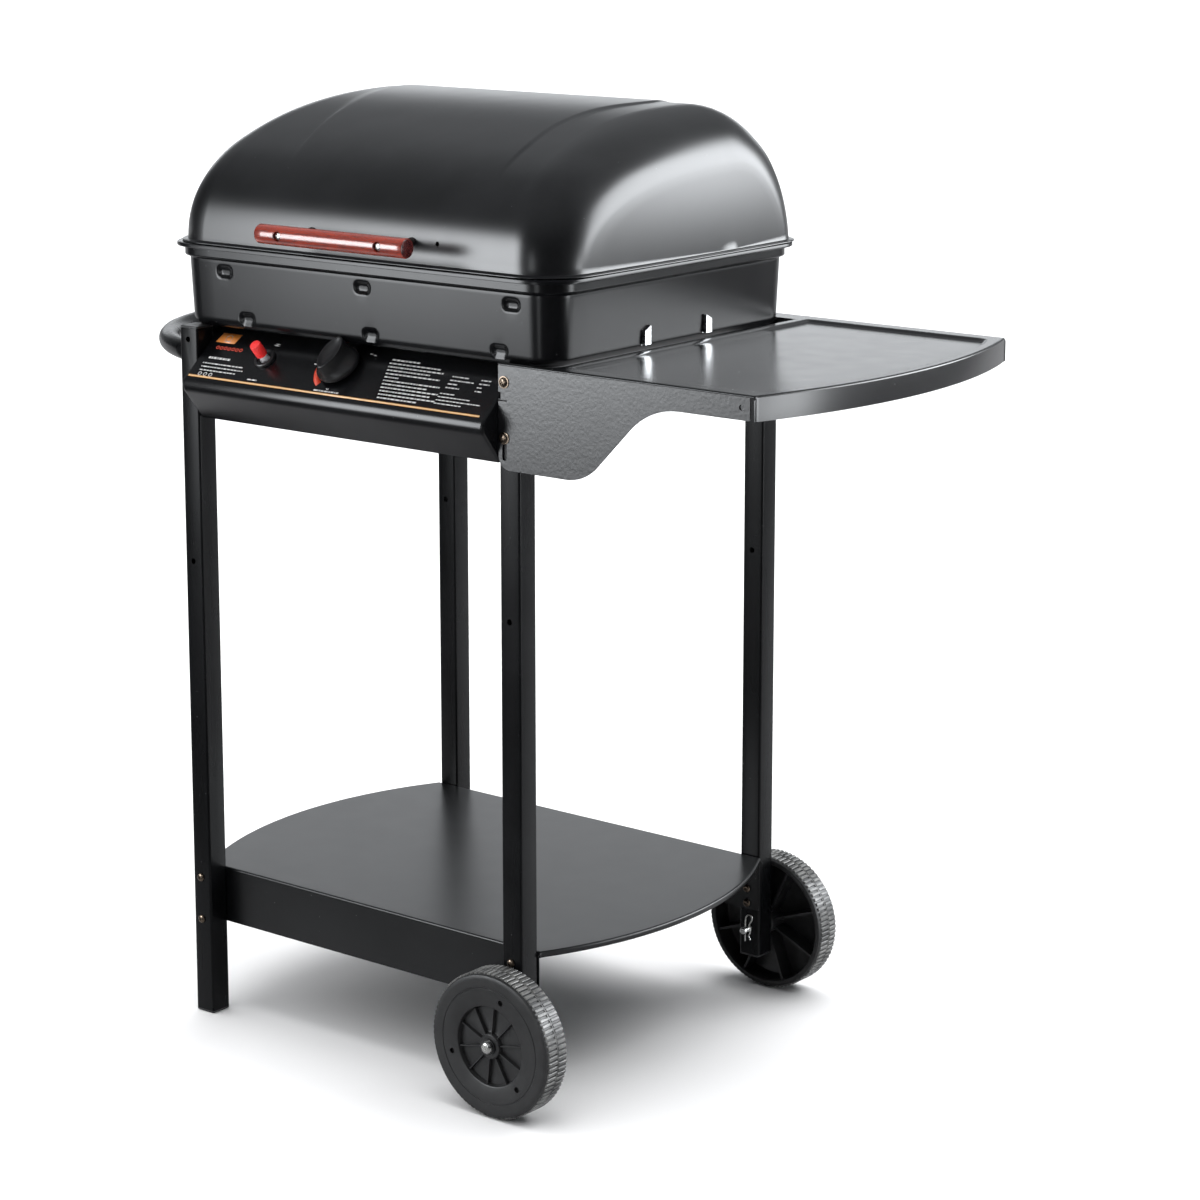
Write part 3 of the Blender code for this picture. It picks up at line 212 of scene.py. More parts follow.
def lacquered_wood(name):
    """Red-brown turned wood: long grain with dark pores under lacquer, darker end grain."""
    s = Surface(name, (0.2, 0.03, 0.02), 0.3)
    along = s.stretched((6, 75, 75))
    grain = s.noise(9, 6, 0.62, along, 0.9)
    fine = s.noise(46, 4, 0.7, s.stretched((2.2, 40, 40)))
    base = s.mix(s.span(grain, 0.34, 0.68), (0.300, 0.033, 0.014), (0.115, 0.014, 0.010))
    pores = s.span(fine, 0.57, 0.66, 0, 0.75)
    base = s.mix(pores, base, (0.045, 0.008, 0.007))
    geometry = s.tree.nodes.new("ShaderNodeNewGeometry").outputs["Normal"]
    split = s._node("ShaderNodeSeparateXYZ", {0: geometry}).outputs[0]
    end = s.span(s.maths("ABSOLUTE", split), 0.75, 0.95)
    rings = s.span(s.noise(260, 5, 0.6), 0.35, 0.7)
    base = s.mix(end, base, s.mix(rings, (0.075, 0.013, 0.012), (0.030, 0.007, 0.008)))
    s.set("Base Color", base)
    s.set("Roughness", s.span(grain, 0.3, 0.7, 0.20, 0.34))
    s.set("Coat Weight", 0.6)
    s.set("Coat Roughness", 0.10)
    s.bump(fine, 0.00005)
    return s.material


def porous_rock(name):
    s = Surface(name, (0.10, 0.06, 0.05), 0.95)
    tone = s.span(s.noise(60, 6, 0.7), 0.3, 0.7)
    s.set("Base Color", s.mix(tone, (0.055, 0.038, 0.034), (0.17, 0.10, 0.075)))
    hole = s.cells(320)
    s.bump(s.span(hole.outputs["Distance"], 0.05, 0.45), 0.0014)
    s.bump(s.noise(700, 4, 0.7), 0.0004)
    return s.material


def printed(name, colour, roughness=0.4):
    """Screen-printed ink with slightly uneven cover."""
    s = Surface(name, colour, roughness)
    thin = s.span(s.noise(900, 3), 0.3, 0.8, 0.0, 0.22)
    s.set("Base Color", s.mix(thin, colour, tuple(c * 0.6 for c in colour)))
    return s.material


PAINT = painted("black_powder_coat", (0.0021, 0.0023, 0.0028), 0.27, 0.00003, 500, 0.4, 0.16)
LID_PAINT = painted("black_lid_enamel", (0.0036, 0.0038, 0.0045), 0.285, 0.000010, 420, 0.4)
BOX_PAINT = painted("black_firebox_enamel", (0.0026, 0.0028, 0.0035), 0.24, 0.000014, 380, 0.5, 0.26)
SHELF_PAINT = painted("black_shelf_coat", (0.0034, 0.0036, 0.0042), 0.25, 0.000010, 260, 0.4)
BRACKET_PAINT = painted("black_bracket_coat", (0.0034, 0.0036, 0.0042), 0.29, 0.00011, 330, 0.4)
TRAY_PAINT = painted("black_tray_coat", (0.0021, 0.0023, 0.0028), 0.31, 0.00003, 600, 0.7, 0.36)
PANEL_PAINT = painted("black_panel_coat", (0.0026, 0.0028, 0.0034), 0.24, 0.000010, 400, 0.3, 0.32)
PLASTIC = moulded("black_plastic", (0.010, 0.010, 0.011), 0.36)
CAP_PLASTIC = moulded("black_cap_plastic", (0.016, 0.016, 0.017), 0.42)
WHEEL_PLASTIC = moulded("black_wheel_plastic", (0.010, 0.010, 0.0105), 0.42, 0.00005)
TREAD_PLASTIC = moulded("worn_tread_plastic", (0.016, 0.016, 0.016), 0.36, 0.00006, 0.55)
RED = moulded("red_plastic", (0.78, 0.030, 0.030), 0.30)
PALE = moulded("pale_grey_plastic", (0.50, 0.50, 0.52), 0.35)
WOOD = lacquered_wood("red_brown_wood")
ZINC = plated("zinc_plate", (0.62, 0.62, 0.61), 0.26, (1, 1, 1), (0.50, 0.50, 0.46))
SUPPORT_ZINC = plated("folded_zinc_sheet", (0.72, 0.73, 0.74), 0.30, (1, 0.1, 1))
BRONZE = plated("dark_bronze_plate", (0.16, 0.125, 0.095), 0.27, (1, 1, 1), (0.07, 0.055, 0.045))
CHROME = plated("chrome_wire", (0.78, 0.78, 0.78), 0.14, (1, 1, 1), (0.62, 0.61, 0.58))
BRASS = plated("turned_brass", (0.70, 0.52, 0.24), 0.25, (1, 1, 1), (0.45, 0.31, 0.13))
IRON = plated("heated_steel", (0.17, 0.155, 0.145), 0.52, (0.3, 1, 1), (0.09, 0.08, 0.078))
ROCK = porous_rock("lava_rock")
CERAMIC = moulded("ceramic", (0.75, 0.73, 0.67), 0.25)
WHITE_INK = printed("white_ink", (0.80, 0.80, 0.80))
ORANGE_INK = printed("orange_ink", (0.86, 0.40, 0.11))
PALE_STRIPE_CORE = printed("pale_stripe_core_colour", (0.95, 0.74, 0.46))
RED_INK = printed("red_ink", (0.75, 0.060, 0.022))
FLOOR_WHITE = (0.90, 0.90, 0.905)
AMBER_INK = printed("amber_ink", (0.88, 0.30, 0.06))


# ---- mesh helpers -------------------------------------------------------------------------------
def smooth_step(value):
    value = min(max(value, 0.0), 1.0)
    return value * value * (3 - 2 * value)


def blend_table(value, table):
    """Read (position, result) pairs at a position, smoothly."""
    pairs = sorted(table)
    if value <= pairs[0][0]:
        return pairs[0][1]
    for (low, first), (high, second) in zip(pairs, pairs[1:]):
        if value <= high:
            share = (value - low) / (high - low)
            return first + (second - first) * share
    return pairs[-1][1]


def box(mesh, low, high):
    size = [high[i] - low[i] for i in range(3)]
    centre = [(high[i] + low[i]) / 2 for i in range(3)]
    bmesh.ops.create_cube(mesh, size=1, matrix=Matrix.Translation(centre) @ Matrix.Diagonal((*size, 1)))


def turn_to(axis):
    return Z_AXIS.rotation_difference(Vector(axis)).to_matrix().to_4x4()


def rod(mesh, start, end, radius, sides=24, end_radius=None):
    start, end = Vector(start), Vector(end)
    along = end - start
    place = Matrix.Translation((start + end) / 2) @ turn_to(along.normalized())
    bmesh.ops.create_cone(mesh, cap_ends=True, segments=sides, radius1=radius,
                          radius2=radius if end_radius is None else end_radius,
                          depth=along.length, matrix=place)


def loft(mesh, rings, closed=False, caps=True):
    made = [[mesh.verts.new(point) for point in ring] for ring in rings]
    pairs = list(zip(made, made[1:])) + ([(made[-1], made[0])] if closed else [])
    count = len(made[0])
    for low, high in pairs:
        for i in range(count):
            j = (i + 1) % count
            mesh.faces.new((low[i], low[j], high[j], high[i]))
    if caps and not closed:
        mesh.faces.new(list(reversed(made[0])))
        mesh.faces.new(made[-1])
    return made


def prism(mesh, outline, place, depth):
    loft(mesh, [[place(u, v, w) for u, v in outline] for w in (0, depth)])


def turned(mesh, profile, origin, axis, sides=48):
    """Spin a closed (radius, height) profile about an axis."""
    spin = Matrix.Translation(origin) @ turn_to(axis)
    rings = []
    for k in range(sides):
        angle = 2 * math.pi * k / sides
        rings.append([spin @ Vector((r * math.cos(angle), r * math.sin(angle), h))
                      for r, h in profile])
    loft(mesh, rings, closed=True)


def spindle(mesh, levels, origin, axis, sides=32):
    """Solid of revolution from (radius, height) levels."""
    spin = Matrix.Translation(origin) @ turn_to(axis)
    loft(mesh, [[spin @ Vector((r * math.cos(2 * math.pi * k / sides),
                                r * math.sin(2 * math.pi * k / sides), h)) for k in range(sides)]
                for r, h in levels])


def arc(centre, radius, start, end, steps):
    return [(centre[0] + radius * math.cos(math.radians(start + (end - start) * k / steps)),
             centre[1] + radius * math.sin(math.radians(start + (end - start) * k / steps)))
            for k in range(steps + 1)]


def pipe(mesh, path, radius, bore=0.0, sides=16):
    path = [Vector(p) for p in path]
    outer, inner = [], []
    side = None
    for k, point in enumerate(path):
        along = (path[min(k + 1, len(path) - 1)] - path[max(k - 1, 0)]).normalized()
        if side is None:
            side = along.orthogonal().normalized()
        side = (side - along * side.dot(along)).normalized()
        up = along.cross(side)
        for rings, size in ((outer, radius), (inner, bore)):
            rings.append([point + side * size * math.cos(2 * math.pi * i / sides)
                          + up * size * math.sin(2 * math.pi * i / sides) for i in range(sides)])
    if bore:
        loft(mesh, outer + list(reversed(inner)), closed=True)
    else:
        loft(mesh, outer)


def smooth_path(points, steps=8):
    """Points of a smooth curve through the given ones."""
    points = [Vector(p) for p in points]
    ends = [2 * points[0] - points[1]] + points + [2 * points[-1] - points[-2]]
    path = []
    for a, b, c, d in zip(ends, ends[1:], ends[2:], ends[3:]):
        for k in range(steps):
            t = k / steps
            path.append(0.5 * (2 * b + (c - a) * t + (2 * a - 5 * b + 4 * c - d) * t * t
                               + (3 * b - a - 3 * c + d) * t ** 3))
    return path + [points[-1]]


def carve(mesh, cutter, operation="DIFFERENCE"):
    """Boolean of two bmeshes; both are used up and a new one is returned."""
    objects = []
    for part in (mesh, cutter):
        bmesh.ops.recalc_face_normals(part, faces=part.faces)
        data = bpy.data.meshes.new("work")
        part.to_mesh(data)
        part.free()
        made = bpy.data.objects.new("work", data)
        bpy.context.collection.objects.link(made)
        objects.append(made)
    step = objects[0].modifiers.new("cut", "BOOLEAN")
    step.operation, step.solver, step.object = operation, "EXACT", objects[1]
    graph = bpy.context.evaluated_depsgraph_get()
    result = bmesh.new()
    result.from_object(objects[0], graph)
    for made in objects:
        data = made.data
        bpy.data.objects.remove(made)
        bpy.data.meshes.remove(data)
    return result


def piece(name, mesh, paint, body, replaced=(), bevel=0.0, segments=2, sharp=None,
          sheet=0.0, angle=35):
    """Make an object of a bmesh drawn in the cart's frame and set it on a body."""
    bmesh.ops.translate(mesh, vec=CART, verts=mesh.verts)
    if not sheet:
        bmesh.ops.recalc_face_normals(mesh, faces=mesh.faces)
    data = bpy.data.meshes.new(name)
    mesh.to_mesh(data)
    mesh.free()
    for item in (paint if isinstance(paint, tuple) else (paint,)):
        data.materials.append(item)
    data.shade_smooth()
    if sharp:
        data.set_sharp_from_angle(angle=math.radians(sharp))
    made = bpy.data.objects.new(name, data)
    bpy.context.collection.objects.link(made)
    if sheet:
        thick = made.modifiers.new("thickness", "SOLIDIFY")
        thick.thickness, thick.offset, thick.use_even_offset = sheet, -1, True
    if bevel:
        edge = made.modifiers.new("edge", "BEVEL")
        edge.width, edge.segments = bevel, segments
        edge.limit_method, edge.angle_limit = "ANGLE", math.radians(angle)
    if bevel or sheet:
        made.modifiers.new("normals", "WEIGHTED_NORMAL").keep_sharp = True
    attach(made, body)
    if replaced:
        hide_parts(*replaced)
    return made


# ---- fasteners ----------------------------------------------------------------------------------
def cross_screw(name, at, axis, radius, shank, paint, body, replaced=(), washer=0.0):
    """Pan-head screw with a cross recess; at is where the head's underside sits."""
    at, axis = Vector(at), Vector(axis).normalized()
    head = bmesh.new()
    height = radius * 0.60
    levels = [(radius * 0.96, 0.0), (radius, height * 0.12)]
    levels += [(radius * math.cos(a) ** 0.75, height * (0.12 + 0.88 * math.sin(a)))
               for a in (math.radians(8 * k) for k in range(1, 11))]
    if shank:
        levels = [(radius * 0.45, -shank), (radius * 0.52, -shank + 0.0008),
                  (radius * 0.52, 0.0)] + levels
    spindle(head, levels, at, axis, 32)
    cross = bmesh.new()
    spin = Matrix.Translation(at) @ turn_to(axis) @ Matrix.Rotation(math.radians(24), 4, "Z")
    arm, slim = radius * 0.50, radius * 0.11
    outline = []
    for quarter in range(4):
        turn = Matrix.Rotation(quarter * math.pi / 2, 2)
        outline += [turn @ Vector(p) for p in ((arm, -slim), (arm, slim), (slim, slim))]
    top, low = height * 1.2, height * 0.45
    loft(cross, [[spin @ Vector((u * s, v * s, h)) for u, v in outline] for h,
                 s in ((low, 0.75), (top, 1.12))])
    head = carve(head, cross)
    if washer:
        spindle(head, [(washer - 0.0002, -0.0000), (washer, 0.0003), (washer, 0.0008),
                       (radius * 0.9, 0.0009)], at, axis, 28)
    return piece(name, head, paint, body, replaced, sharp=38)


# ---- cart: legs, caps, rails --------------------------------------------------------------------
def square_ring(x, y, half, corner, z, steps=4):
    ring = []
    for sx, sy, start in ((1, -1, -90), (1, 1, 0), (-1, 1, 90), (-1, -1, 180)):
        centre = (x + sx * (half - corner), y + sy * (half - corner))
        ring += [(u, v, z) for u, v in arc(centre, corner, start, start + 90, steps)]
    return ring


def leg(end, side):
    sx, sy = SIDES[side], ENDS[end]
    x, y = sx * LEG_X, sy * LEG_Y
    bottom = CAP + GAP if side == "left" else RIGHT_LEG_BOTTOM
    half, inner = TUBE / 2, TUBE / 2 - TUBE_WALL
    levels = [bottom, 0.20, 0.36, 0.52, 0.66, LEG_TOP]
    rings = [square_ring(x, y, half, 0.0024, z) for z in levels]
    rings += [square_ring(x, y, inner, 0.0011, z) for z in reversed(levels)]
    mesh = bmesh.new()
    loft(mesh, rings, closed=True)
    face = sy * LEG_Y + sy * half
    holes = bmesh.new()
    spots = [(x - 0.0010, MID_HOLE_Z)]
    if side == "left":
        spots += [(x - 0.0010, BRACKET_Z[0])]
    for hole_x, z in spots:
        rod(holes, (hole_x, face - sy * 0.004, z), (hole_x, face + sy * 0.004, z), 0.0031, 24)
    if end == "back":
        for hole_x, z in spots[:1]:
            rod(holes, (hole_x, y - half - 0.004, z), (hole_x, y - half + 0.004, z), 0.0031, 24)
    mesh = carve(mesh, holes)
    piece(f"square_leg_{end}_{side}", mesh, PAINT, "cart", [f"leg_{end}_{side}"],
          sharp=30)
    for kind, z, way in (("top", LEG_TOP, 1), ("foot", bottom, -1)):
        plug = TUBE / 2 - TUBE_WALL - GAP
        mesh = bmesh.new()
        loft(mesh, [square_ring(x, y, size, radius, level) for size, radius, level in (
            (plug, 0.0009, z - way * 0.0075), (plug, 0.0009, z + way * GAP),
            (half - 0.0001, 0.0022, z + way * GAP), (half, 0.0024, z + way * (GAP + 0.0005)),
            (half, 0.0024, z + way * (GAP + 0.0012)), (half - 0.0008, 0.0018, z + way * (GAP + CAP)))])
        node = f"leg_{kind}_cap_{end}_{side}"
        piece(f"plug_{kind}_{end}_{side}", mesh, CAP_PLASTIC, "cart", [node], sharp=30)


def side_rail(side):
    half, inner = TUBE / 2 - GAP, TUBE / 2 - GAP - PLATE
    reach = LEG_Y - TUBE / 2 - GAP
    x = SIDES[side] * LEG_X
    top = LEG_TOP + CAP - GAP
    drop = top - 0.035
    bend = 0.0025
    outer = [(half, drop)] + arc((half - bend, top - bend), bend, 0, 90, 4)
    outer += arc((-half + bend, top - bend), bend, 90, 180, 4) + [(-half, drop)]
    under = [(-inner, drop)] + arc((-inner + 0.001, top - PLATE - 0.001), 0.001, 180, 90, 3)
    under += arc((inner - 0.001, top - PLATE - 0.001), 0.001, 90, 0, 3) + [(inner, drop)]
    mesh = bmesh.new()
    prism(mesh, outer + under, lambda u, v, w: (x + u, -reach + w, v), 2 * reach)
    piece(f"folded_rail_{side}", mesh, PAINT, "cart", [f"side_rail_{side}"], sharp=30)


# ---- folded trays -------------------------------------------------------------------------------
def bow_edge(corner_x, bow, half_y):
    """Function giving a bowed end's x at each y."""
    radius = (bow ** 2 + half_y ** 2) / (2 * bow)
    centre = corner_x + bow - radius
    return lambda y: centre + math.sqrt(max(radius ** 2 - y ** 2, 0))


def fold_steps(bend, drop, steps=4):
    """(outward, down, angle) of a flange after its bend: an arc and then straight down."""
    made = [(bend * math.sin(a), bend * (1 - math.cos(a)))
            for a in (math.pi / 2 * k / steps for k in range(1, steps + 1))]
    return made + ([(bend, drop)] if drop > bend else [])


def folded_sheet(columns, rows, edge_x, top, bend, end_drop, side_drop, sink, skip, both_ends):
    """Open sheet: a top with folded edges.

    columns run 0..1 between the left line and the bowed right end, rows are y values.
    """
    mesh = bmesh.new()
    end_folds = [(0, 0)] + fold_steps(bend, end_drop)
    side_folds = [(0, 0)] + fold_steps(bend, side_drop)
    u_steps = [(c, 0, 0, 0) for c in columns]
    u_steps += [(columns[-1], out, down, 1) for out, down in end_folds[1:]]
    if both_ends:
        u_steps = [(columns[0], out, down, -1) for out, down in reversed(end_folds[1:])] + u_steps
    v_steps = [(rows[0], out, down, -1) for out, down in reversed(side_folds[1:])]
    v_steps += [(r, 0, 0, 0) for r in rows] + [(rows[-1], out, down, 1) for out, down in side_folds[1:]]
    grid = {}
    for i, (u, u_out, u_down, u_way) in enumerate(u_steps):
        for j, (y, v_out, v_down, v_way) in enumerate(v_steps):
            x = edge_x(u, y) + u_way * u_out
            drop = max(u_down, v_down) if not (u_down and v_down) else u_down + min(v_down, bend)
            if u_down and v_down:
                drop = min(drop, max(end_drop, bend))
            lift = sink(x, y) if not (u_down or v_down) else 0.0
            grid[i, j] = mesh.verts.new((x, y + v_way * v_out, top - drop - lift))
    long_flange = side_drop > bend
    for i in range(len(u_steps) - 1):
        for j in range(len(v_steps) - 1):
            at_end = u_steps[i][2] or u_steps[i + 1][2]
            if at_end and long_flange and j in (0, len(v_steps) - 2):
                continue
            if skip((u_steps[i][0] + u_steps[i + 1][0]) / 2, (v_steps[j][0] + v_steps[j + 1][0]) / 2):
                continue
            mesh.faces.new((grid[i, j], grid[i + 1, j], grid[i + 1, j + 1], grid[i, j + 1]))
    loose = [v for v in mesh.verts if not v.link_faces]
    bmesh.ops.delete(mesh, geom=loose, context="VERTS")
    return mesh


def spaced(low, high, step):
    count = max(1, round((high - low) / step))
    return [low + (high - low) * k / count for k in range(count + 1)]


def bottom_tray():
    half_y = LEG_Y - TUBE / 2 - GAP
    bend = 0.0022
    bow = bow_edge(TRAY_CORNER_X - bend, TRAY_BOW, half_y)
    columns = spaced(-1, 1, 0.08)
    rows = spaced(-half_y + bend, half_y - bend, 0.012)
    mesh = folded_sheet(columns, rows, lambda u, y: u * bow(y), TRAY_TOP, bend, TRAY_LIP, TRAY_DEPTH,
                        lambda x, y: 0.0, lambda u, y: False, True)
    piece("pressed_bottom_tray", mesh, TRAY_PAINT, "cart", ["bottom_tray"], sheet=PLATE)
    for end, sy in ENDS.items():
        for side, sx in SIDES.items():
            for k, z in enumerate(TRAY_SCREW_Z):
                if end == "front":
                    if side == "right" and k == 1:
                        continue
                    at = (sx * LEG_X - 0.0012, -LEG_Y - TUBE / 2 - 0.0001, z)
                    way = -Y_AXIS
                else:
                    at = (sx * LEG_X - 0.002, half_y - PLATE - 0.0002, z - 0.030 * (1 - k))
                    way = -Y_AXIS
                cross_screw(f"tray_screw_{end}_{side}_{k}", at, way, 0.0046, 0, BRONZE, "cart")


def bracket_outline(top, low):
    """Front or back flange of the shelf, in (x, z), with its S-shaped lower edge."""
    left = LEG_X - TUBE / 2 + 0.0005
    lift = SHELF_TOP - SHELF_LIP
    slope, small, large, start = 46.0, 0.052, 0.079, 0.286
    curve = arc((start, low + small), small, -90, -90 + slope, 14)
    turn = math.radians(slope)
    end_x, end_z = curve[-1]
    run = (lift - large * (1 - math.cos(turn)) - end_z) / math.tan(turn)
    top_x = end_x + run + large * math.sin(turn)
    curve += arc((top_x, lift - large), large, 90 + slope, 90, 14)
    foot = arc((left + 0.014, low + 0.014), 0.014, 180, 270, 8)
    right = SHELF_CORNER_X - 0.0050
    tip = arc((right - 0.002, lift + 0.002), 0.002, -90, 0, 3)
    return foot + curve + tip + [(right, top), (left, top)]


def side_shelf():
    half_y = LEG_Y + TUBE / 2 + GAP + PLATE
    bend = 0.0022
    left = LEG_X - TUBE / 2 + 0.0005
    bow = bow_edge(SHELF_CORNER_X - bend, SHELF_BOW, half_y)
    strip = [u for u in spaced(-0.25, 0, 0.0625)][:-1]
    columns = strip + spaced(0, 0.06, 0.012) + spaced(0.06, 0.90, 0.04)[1:] + spaced(0.90, 1, 0.008)[1:]

    def edge_x(u, y):
        if u < 0:
            return SHELF_LEFT_X + (SHELF_LEFT_X - left) * u / 0.25
        return SHELF_LEFT_X + (bow(y) - SHELF_LEFT_X) * u

    rim, depth, soft = 0.0215, 0.0030, 0.0045
    recess_left, recess_y, recess_right = 0.2810, half_y - rim, 0.0115

    def sink(x, y):
        if x < recess_left - soft:
            return 0.0
        inside = min(recess_y - abs(y), bow(y) - recess_right - x, x - recess_left)
        corner = 0.012
        dx = bow(recess_y) - recess_right - x
        dy = recess_y - abs(y)
        if dx < corner and dy < corner:
            inside = min(inside, corner - math.hypot(corner - dx, corner - dy))
        return depth * smooth_step(0.5 + inside / soft)

    notch_front = BOX_Y - (RIM_Y - BAND - LEDGE) - 0.003
    notch_back = BOX_Y + (RIM_Y - BAND - LEDGE) + 0.004
    edge_rows = [s * v for s in (-1, 1) for v in spaced(recess_y - 0.006, recess_y + 0.006, 0.0015)]
    plain_rows = spaced(-recess_y + 0.008, recess_y - 0.008, 0.012)
    rows = sorted(edge_rows + plain_rows + [-half_y + bend, half_y - bend, notch_front, notch_back])
    rows = [r for k, r in enumerate(rows) if k == 0 or r - rows[k - 1] > 0.0002]
    mesh = folded_sheet(columns, rows, edge_x, SHELF_TOP, bend, SHELF_LIP, bend, sink,
                        lambda u, y: u < 0 and notch_front < y < notch_back, False)
    piece("recessed_shelf_top", mesh, SHELF_PAINT, "cart", ["side_shelf"], sheet=PLATE)
    for end, sy in ENDS.items():
        mesh = bmesh.new()
        face = sy * half_y
        prism(mesh, bracket_outline(SHELF_TOP - bend, BRACKET_LOW[end]), lambda u, v,
              w: (u, face - sy * w, v), PLATE)
        holes = bmesh.new()
        rod(holes, (SHELF_CORNER_X - 0.0143, face - sy * 0.0011, 0.7398),
            (SHELF_CORNER_X - 0.0143, face + sy * 0.004, 0.7398), 0.0027, 24)
        screw_x = LEG_X - 0.0045
        slot_low, slot_high, slot_half = 0.6600, 0.6760, 0.0026
        outline = arc((screw_x, slot_low), slot_half, 180, 360, 8)
        outline += arc((screw_x, slot_high), slot_half, 0, 180, 8)
        prism(holes, outline, lambda u, v, w: (u, face - 0.004 + w, v), 0.008)
        box(holes, (left - 0.002, face - 0.004, 0.7172), (left + 0.0030, face + 0.004, 0.7238))
        box(holes, (left - 0.002, face - 0.004, 0.7152), (left + 0.0105, face + 0.004, 0.7163))
        mesh = carve(mesh, holes)
        piece(f"shelf_bracket_{end}", mesh, BRACKET_PAINT, "cart",
              bevel=0.00025, segments=2)
        for k, z in enumerate(BRACKET_Z):
            level = ("upper", "lower")[k]
            at = (LEG_X - 0.0045, sy * (LEG_Y + TUBE / 2 + GAP + PLATE + 0.0001), z)
            cross_screw(f"bracket_screw_{end}_{level}", at, Y_AXIS * sy, 0.0050, 0, BRONZE, "cart",
                        [f"shelf_screw_{end}_{level}"], washer=0.0060)


def push_handle():
    chord = LEG_Y
    radius = (HANDLE_REACH ** 2 + chord ** 2) / (2 * HANDLE_REACH)
    outer = LEG_X + TUBE / 2
    centre_x = -outer - HANDLE_REACH + radius
    path, steps = [], 64
    swing = math.asin(chord / radius)
    for k in range(steps + 1):
        angle = math.pi - swing + 2 * swing * k / steps
        path.append((centre_x + radius * math.cos(angle), radius * math.sin(angle), HANDLE_Z))
    for end in (0, -1):
        near = Vector(path[end])
        inward = near - Vector(path[1 if end == 0 else -2])
        reach = (-outer - 0.004 - near.x) / inward.x
        path[end] = near + inward * reach if inward.x else near
    mesh = bmesh.new()
    tip = Vector((0.0035, 0, 0))
    first, last = Vector(path[0]), Vector(path[-1])
    pipe(mesh, [first + tip] + path + [last + tip], HANDLE_R, 0, 28)
    piece("bent_push_handle", mesh, PAINT, "cart", ["push_handle"], sharp=50)


# ---- control panel ------------------------------------------------------------------------------
FACE_RUN = Vector((0, PANEL_NOSE[0] - PANEL_TOP[0], PANEL_NOSE[1] - PANEL_TOP[1])).normalized()
FACE_NORMAL = Vector((0, FACE_RUN.z, -FACE_RUN.y))


def on_face(x, down, out=0.0):
    return Vector((x, *PANEL_TOP)) + FACE_RUN * down + FACE_NORMAL * out


def panel_section(inset, steps=18):
    flat = Vector((FACE_NORMAL.y, FACE_NORMAL.z))
    slope = math.degrees(math.atan2(flat.y, flat.x))
    nose = Vector(PANEL_NOSE) - flat * NOSE_R
    foot = Vector(PANEL_FOOT)
    under = foot - nose
    lean = math.degrees(math.atan2(under.y, under.x))
    end = 360 + lean - math.degrees(math.acos(NOSE_R / under.length))
    rise = Vector((FACE_RUN.y, FACE_RUN.z)) * PANEL_RISE
    points = [Vector(PANEL_TOP) - rise - flat * inset]
    points += [Vector(p) for p in arc(nose, NOSE_R - inset, slope, end, steps)]
    tip = Vector((math.cos(math.radians(end)), math.sin(math.radians(end))))
    return points + [foot - tip * inset]


def control_panel():
    corner, rounds = 0.0035, 5
    rings = []
    for way in (-1, 1):
        stations = []
        for k in range(rounds + 1):
            angle = math.pi / 2 * k / rounds
            stations.append((way * (PANEL_HALF - corner + corner * math.sin(angle)),
                             corner * (1 - math.cos(angle))))
        if way < 0:
            stations.reverse()
        for x, inset in stations:
            rings.append([(x, p.x, p.y) for p in panel_section(inset)])
    mesh = bmesh.new()
    loft(mesh, rings)
    hollow = bmesh.new()
    inner = panel_section(SHEET)
    back = Vector((0.03, 0.02))
    section = [inner[0] + back] + inner + [inner[-1] + back * 0.8]
    prism(hollow, section, lambda u, v, w: (-PANEL_HALF + SHEET + w, u, v), 2 * (PANEL_HALF - SHEET))
    mesh = carve(mesh, hollow)
    holes = bmesh.new()
    for x, down, radius in ((KNOB_X, KNOB_DOWN, 0.0065), (BUTTON_X, BUTTON_DOWN, 0.0085)):
        rod(holes, on_face(x, down, -0.004), on_face(x, down, 0.004), radius, 32)
    mesh = carve(mesh, holes)
    piece("folded_control_panel", mesh, PANEL_PAINT, "cart", ["control_panel"], sharp=32)


def ink_bar(mesh, x, down, width, height, lean=0.0, lift=0.00012):
    """Thin printed bar on the panel's face."""
    corners = ((0, 0), (width, 0), (width, height), (0, height))
    loft(mesh, [[on_face(x + u - lean * v / max(height, 1e-6), down + v, out) for u, v in corners]
                for out in (0.00003, lift)])


def ink_disc(mesh, x, down, outer, inner=0.0, start=0, end=360, steps=32):
    """Thin printed ring, disc or arc on the face."""
    near = arc((0, 0), max(inner, 1e-5), start, end, steps)
    far = arc((0, 0), outer, start, end, steps)
    outline = [(u, v) for u, v in far[:(-1 if end - start == 360 else None)]]
    if not inner and end - start == 360:
        loft(mesh, [[on_face(x + u, down - v, out) for u, v in outline] for out in (0.00003, 0.00012)])
        return
    for k in range(steps):
        quad = (near[k], far[k], far[k + 1], near[k + 1])
        loft(mesh, [[on_face(x + u, down - v, out) for u, v in quad] for out in (0.00003, 0.00012)])


def ink_text(mesh, draw, x, down, width, height, gap=0.0011):
    """A line of short dashes that stands for a line of small print."""
    place = x
    while place < x + width - 0.0006:
        length = min(draw.uniform(0.0012, 0.0060), x + width - place)
        ink_bar(mesh, place, down, length, height, 0.0003)
        place += length + gap


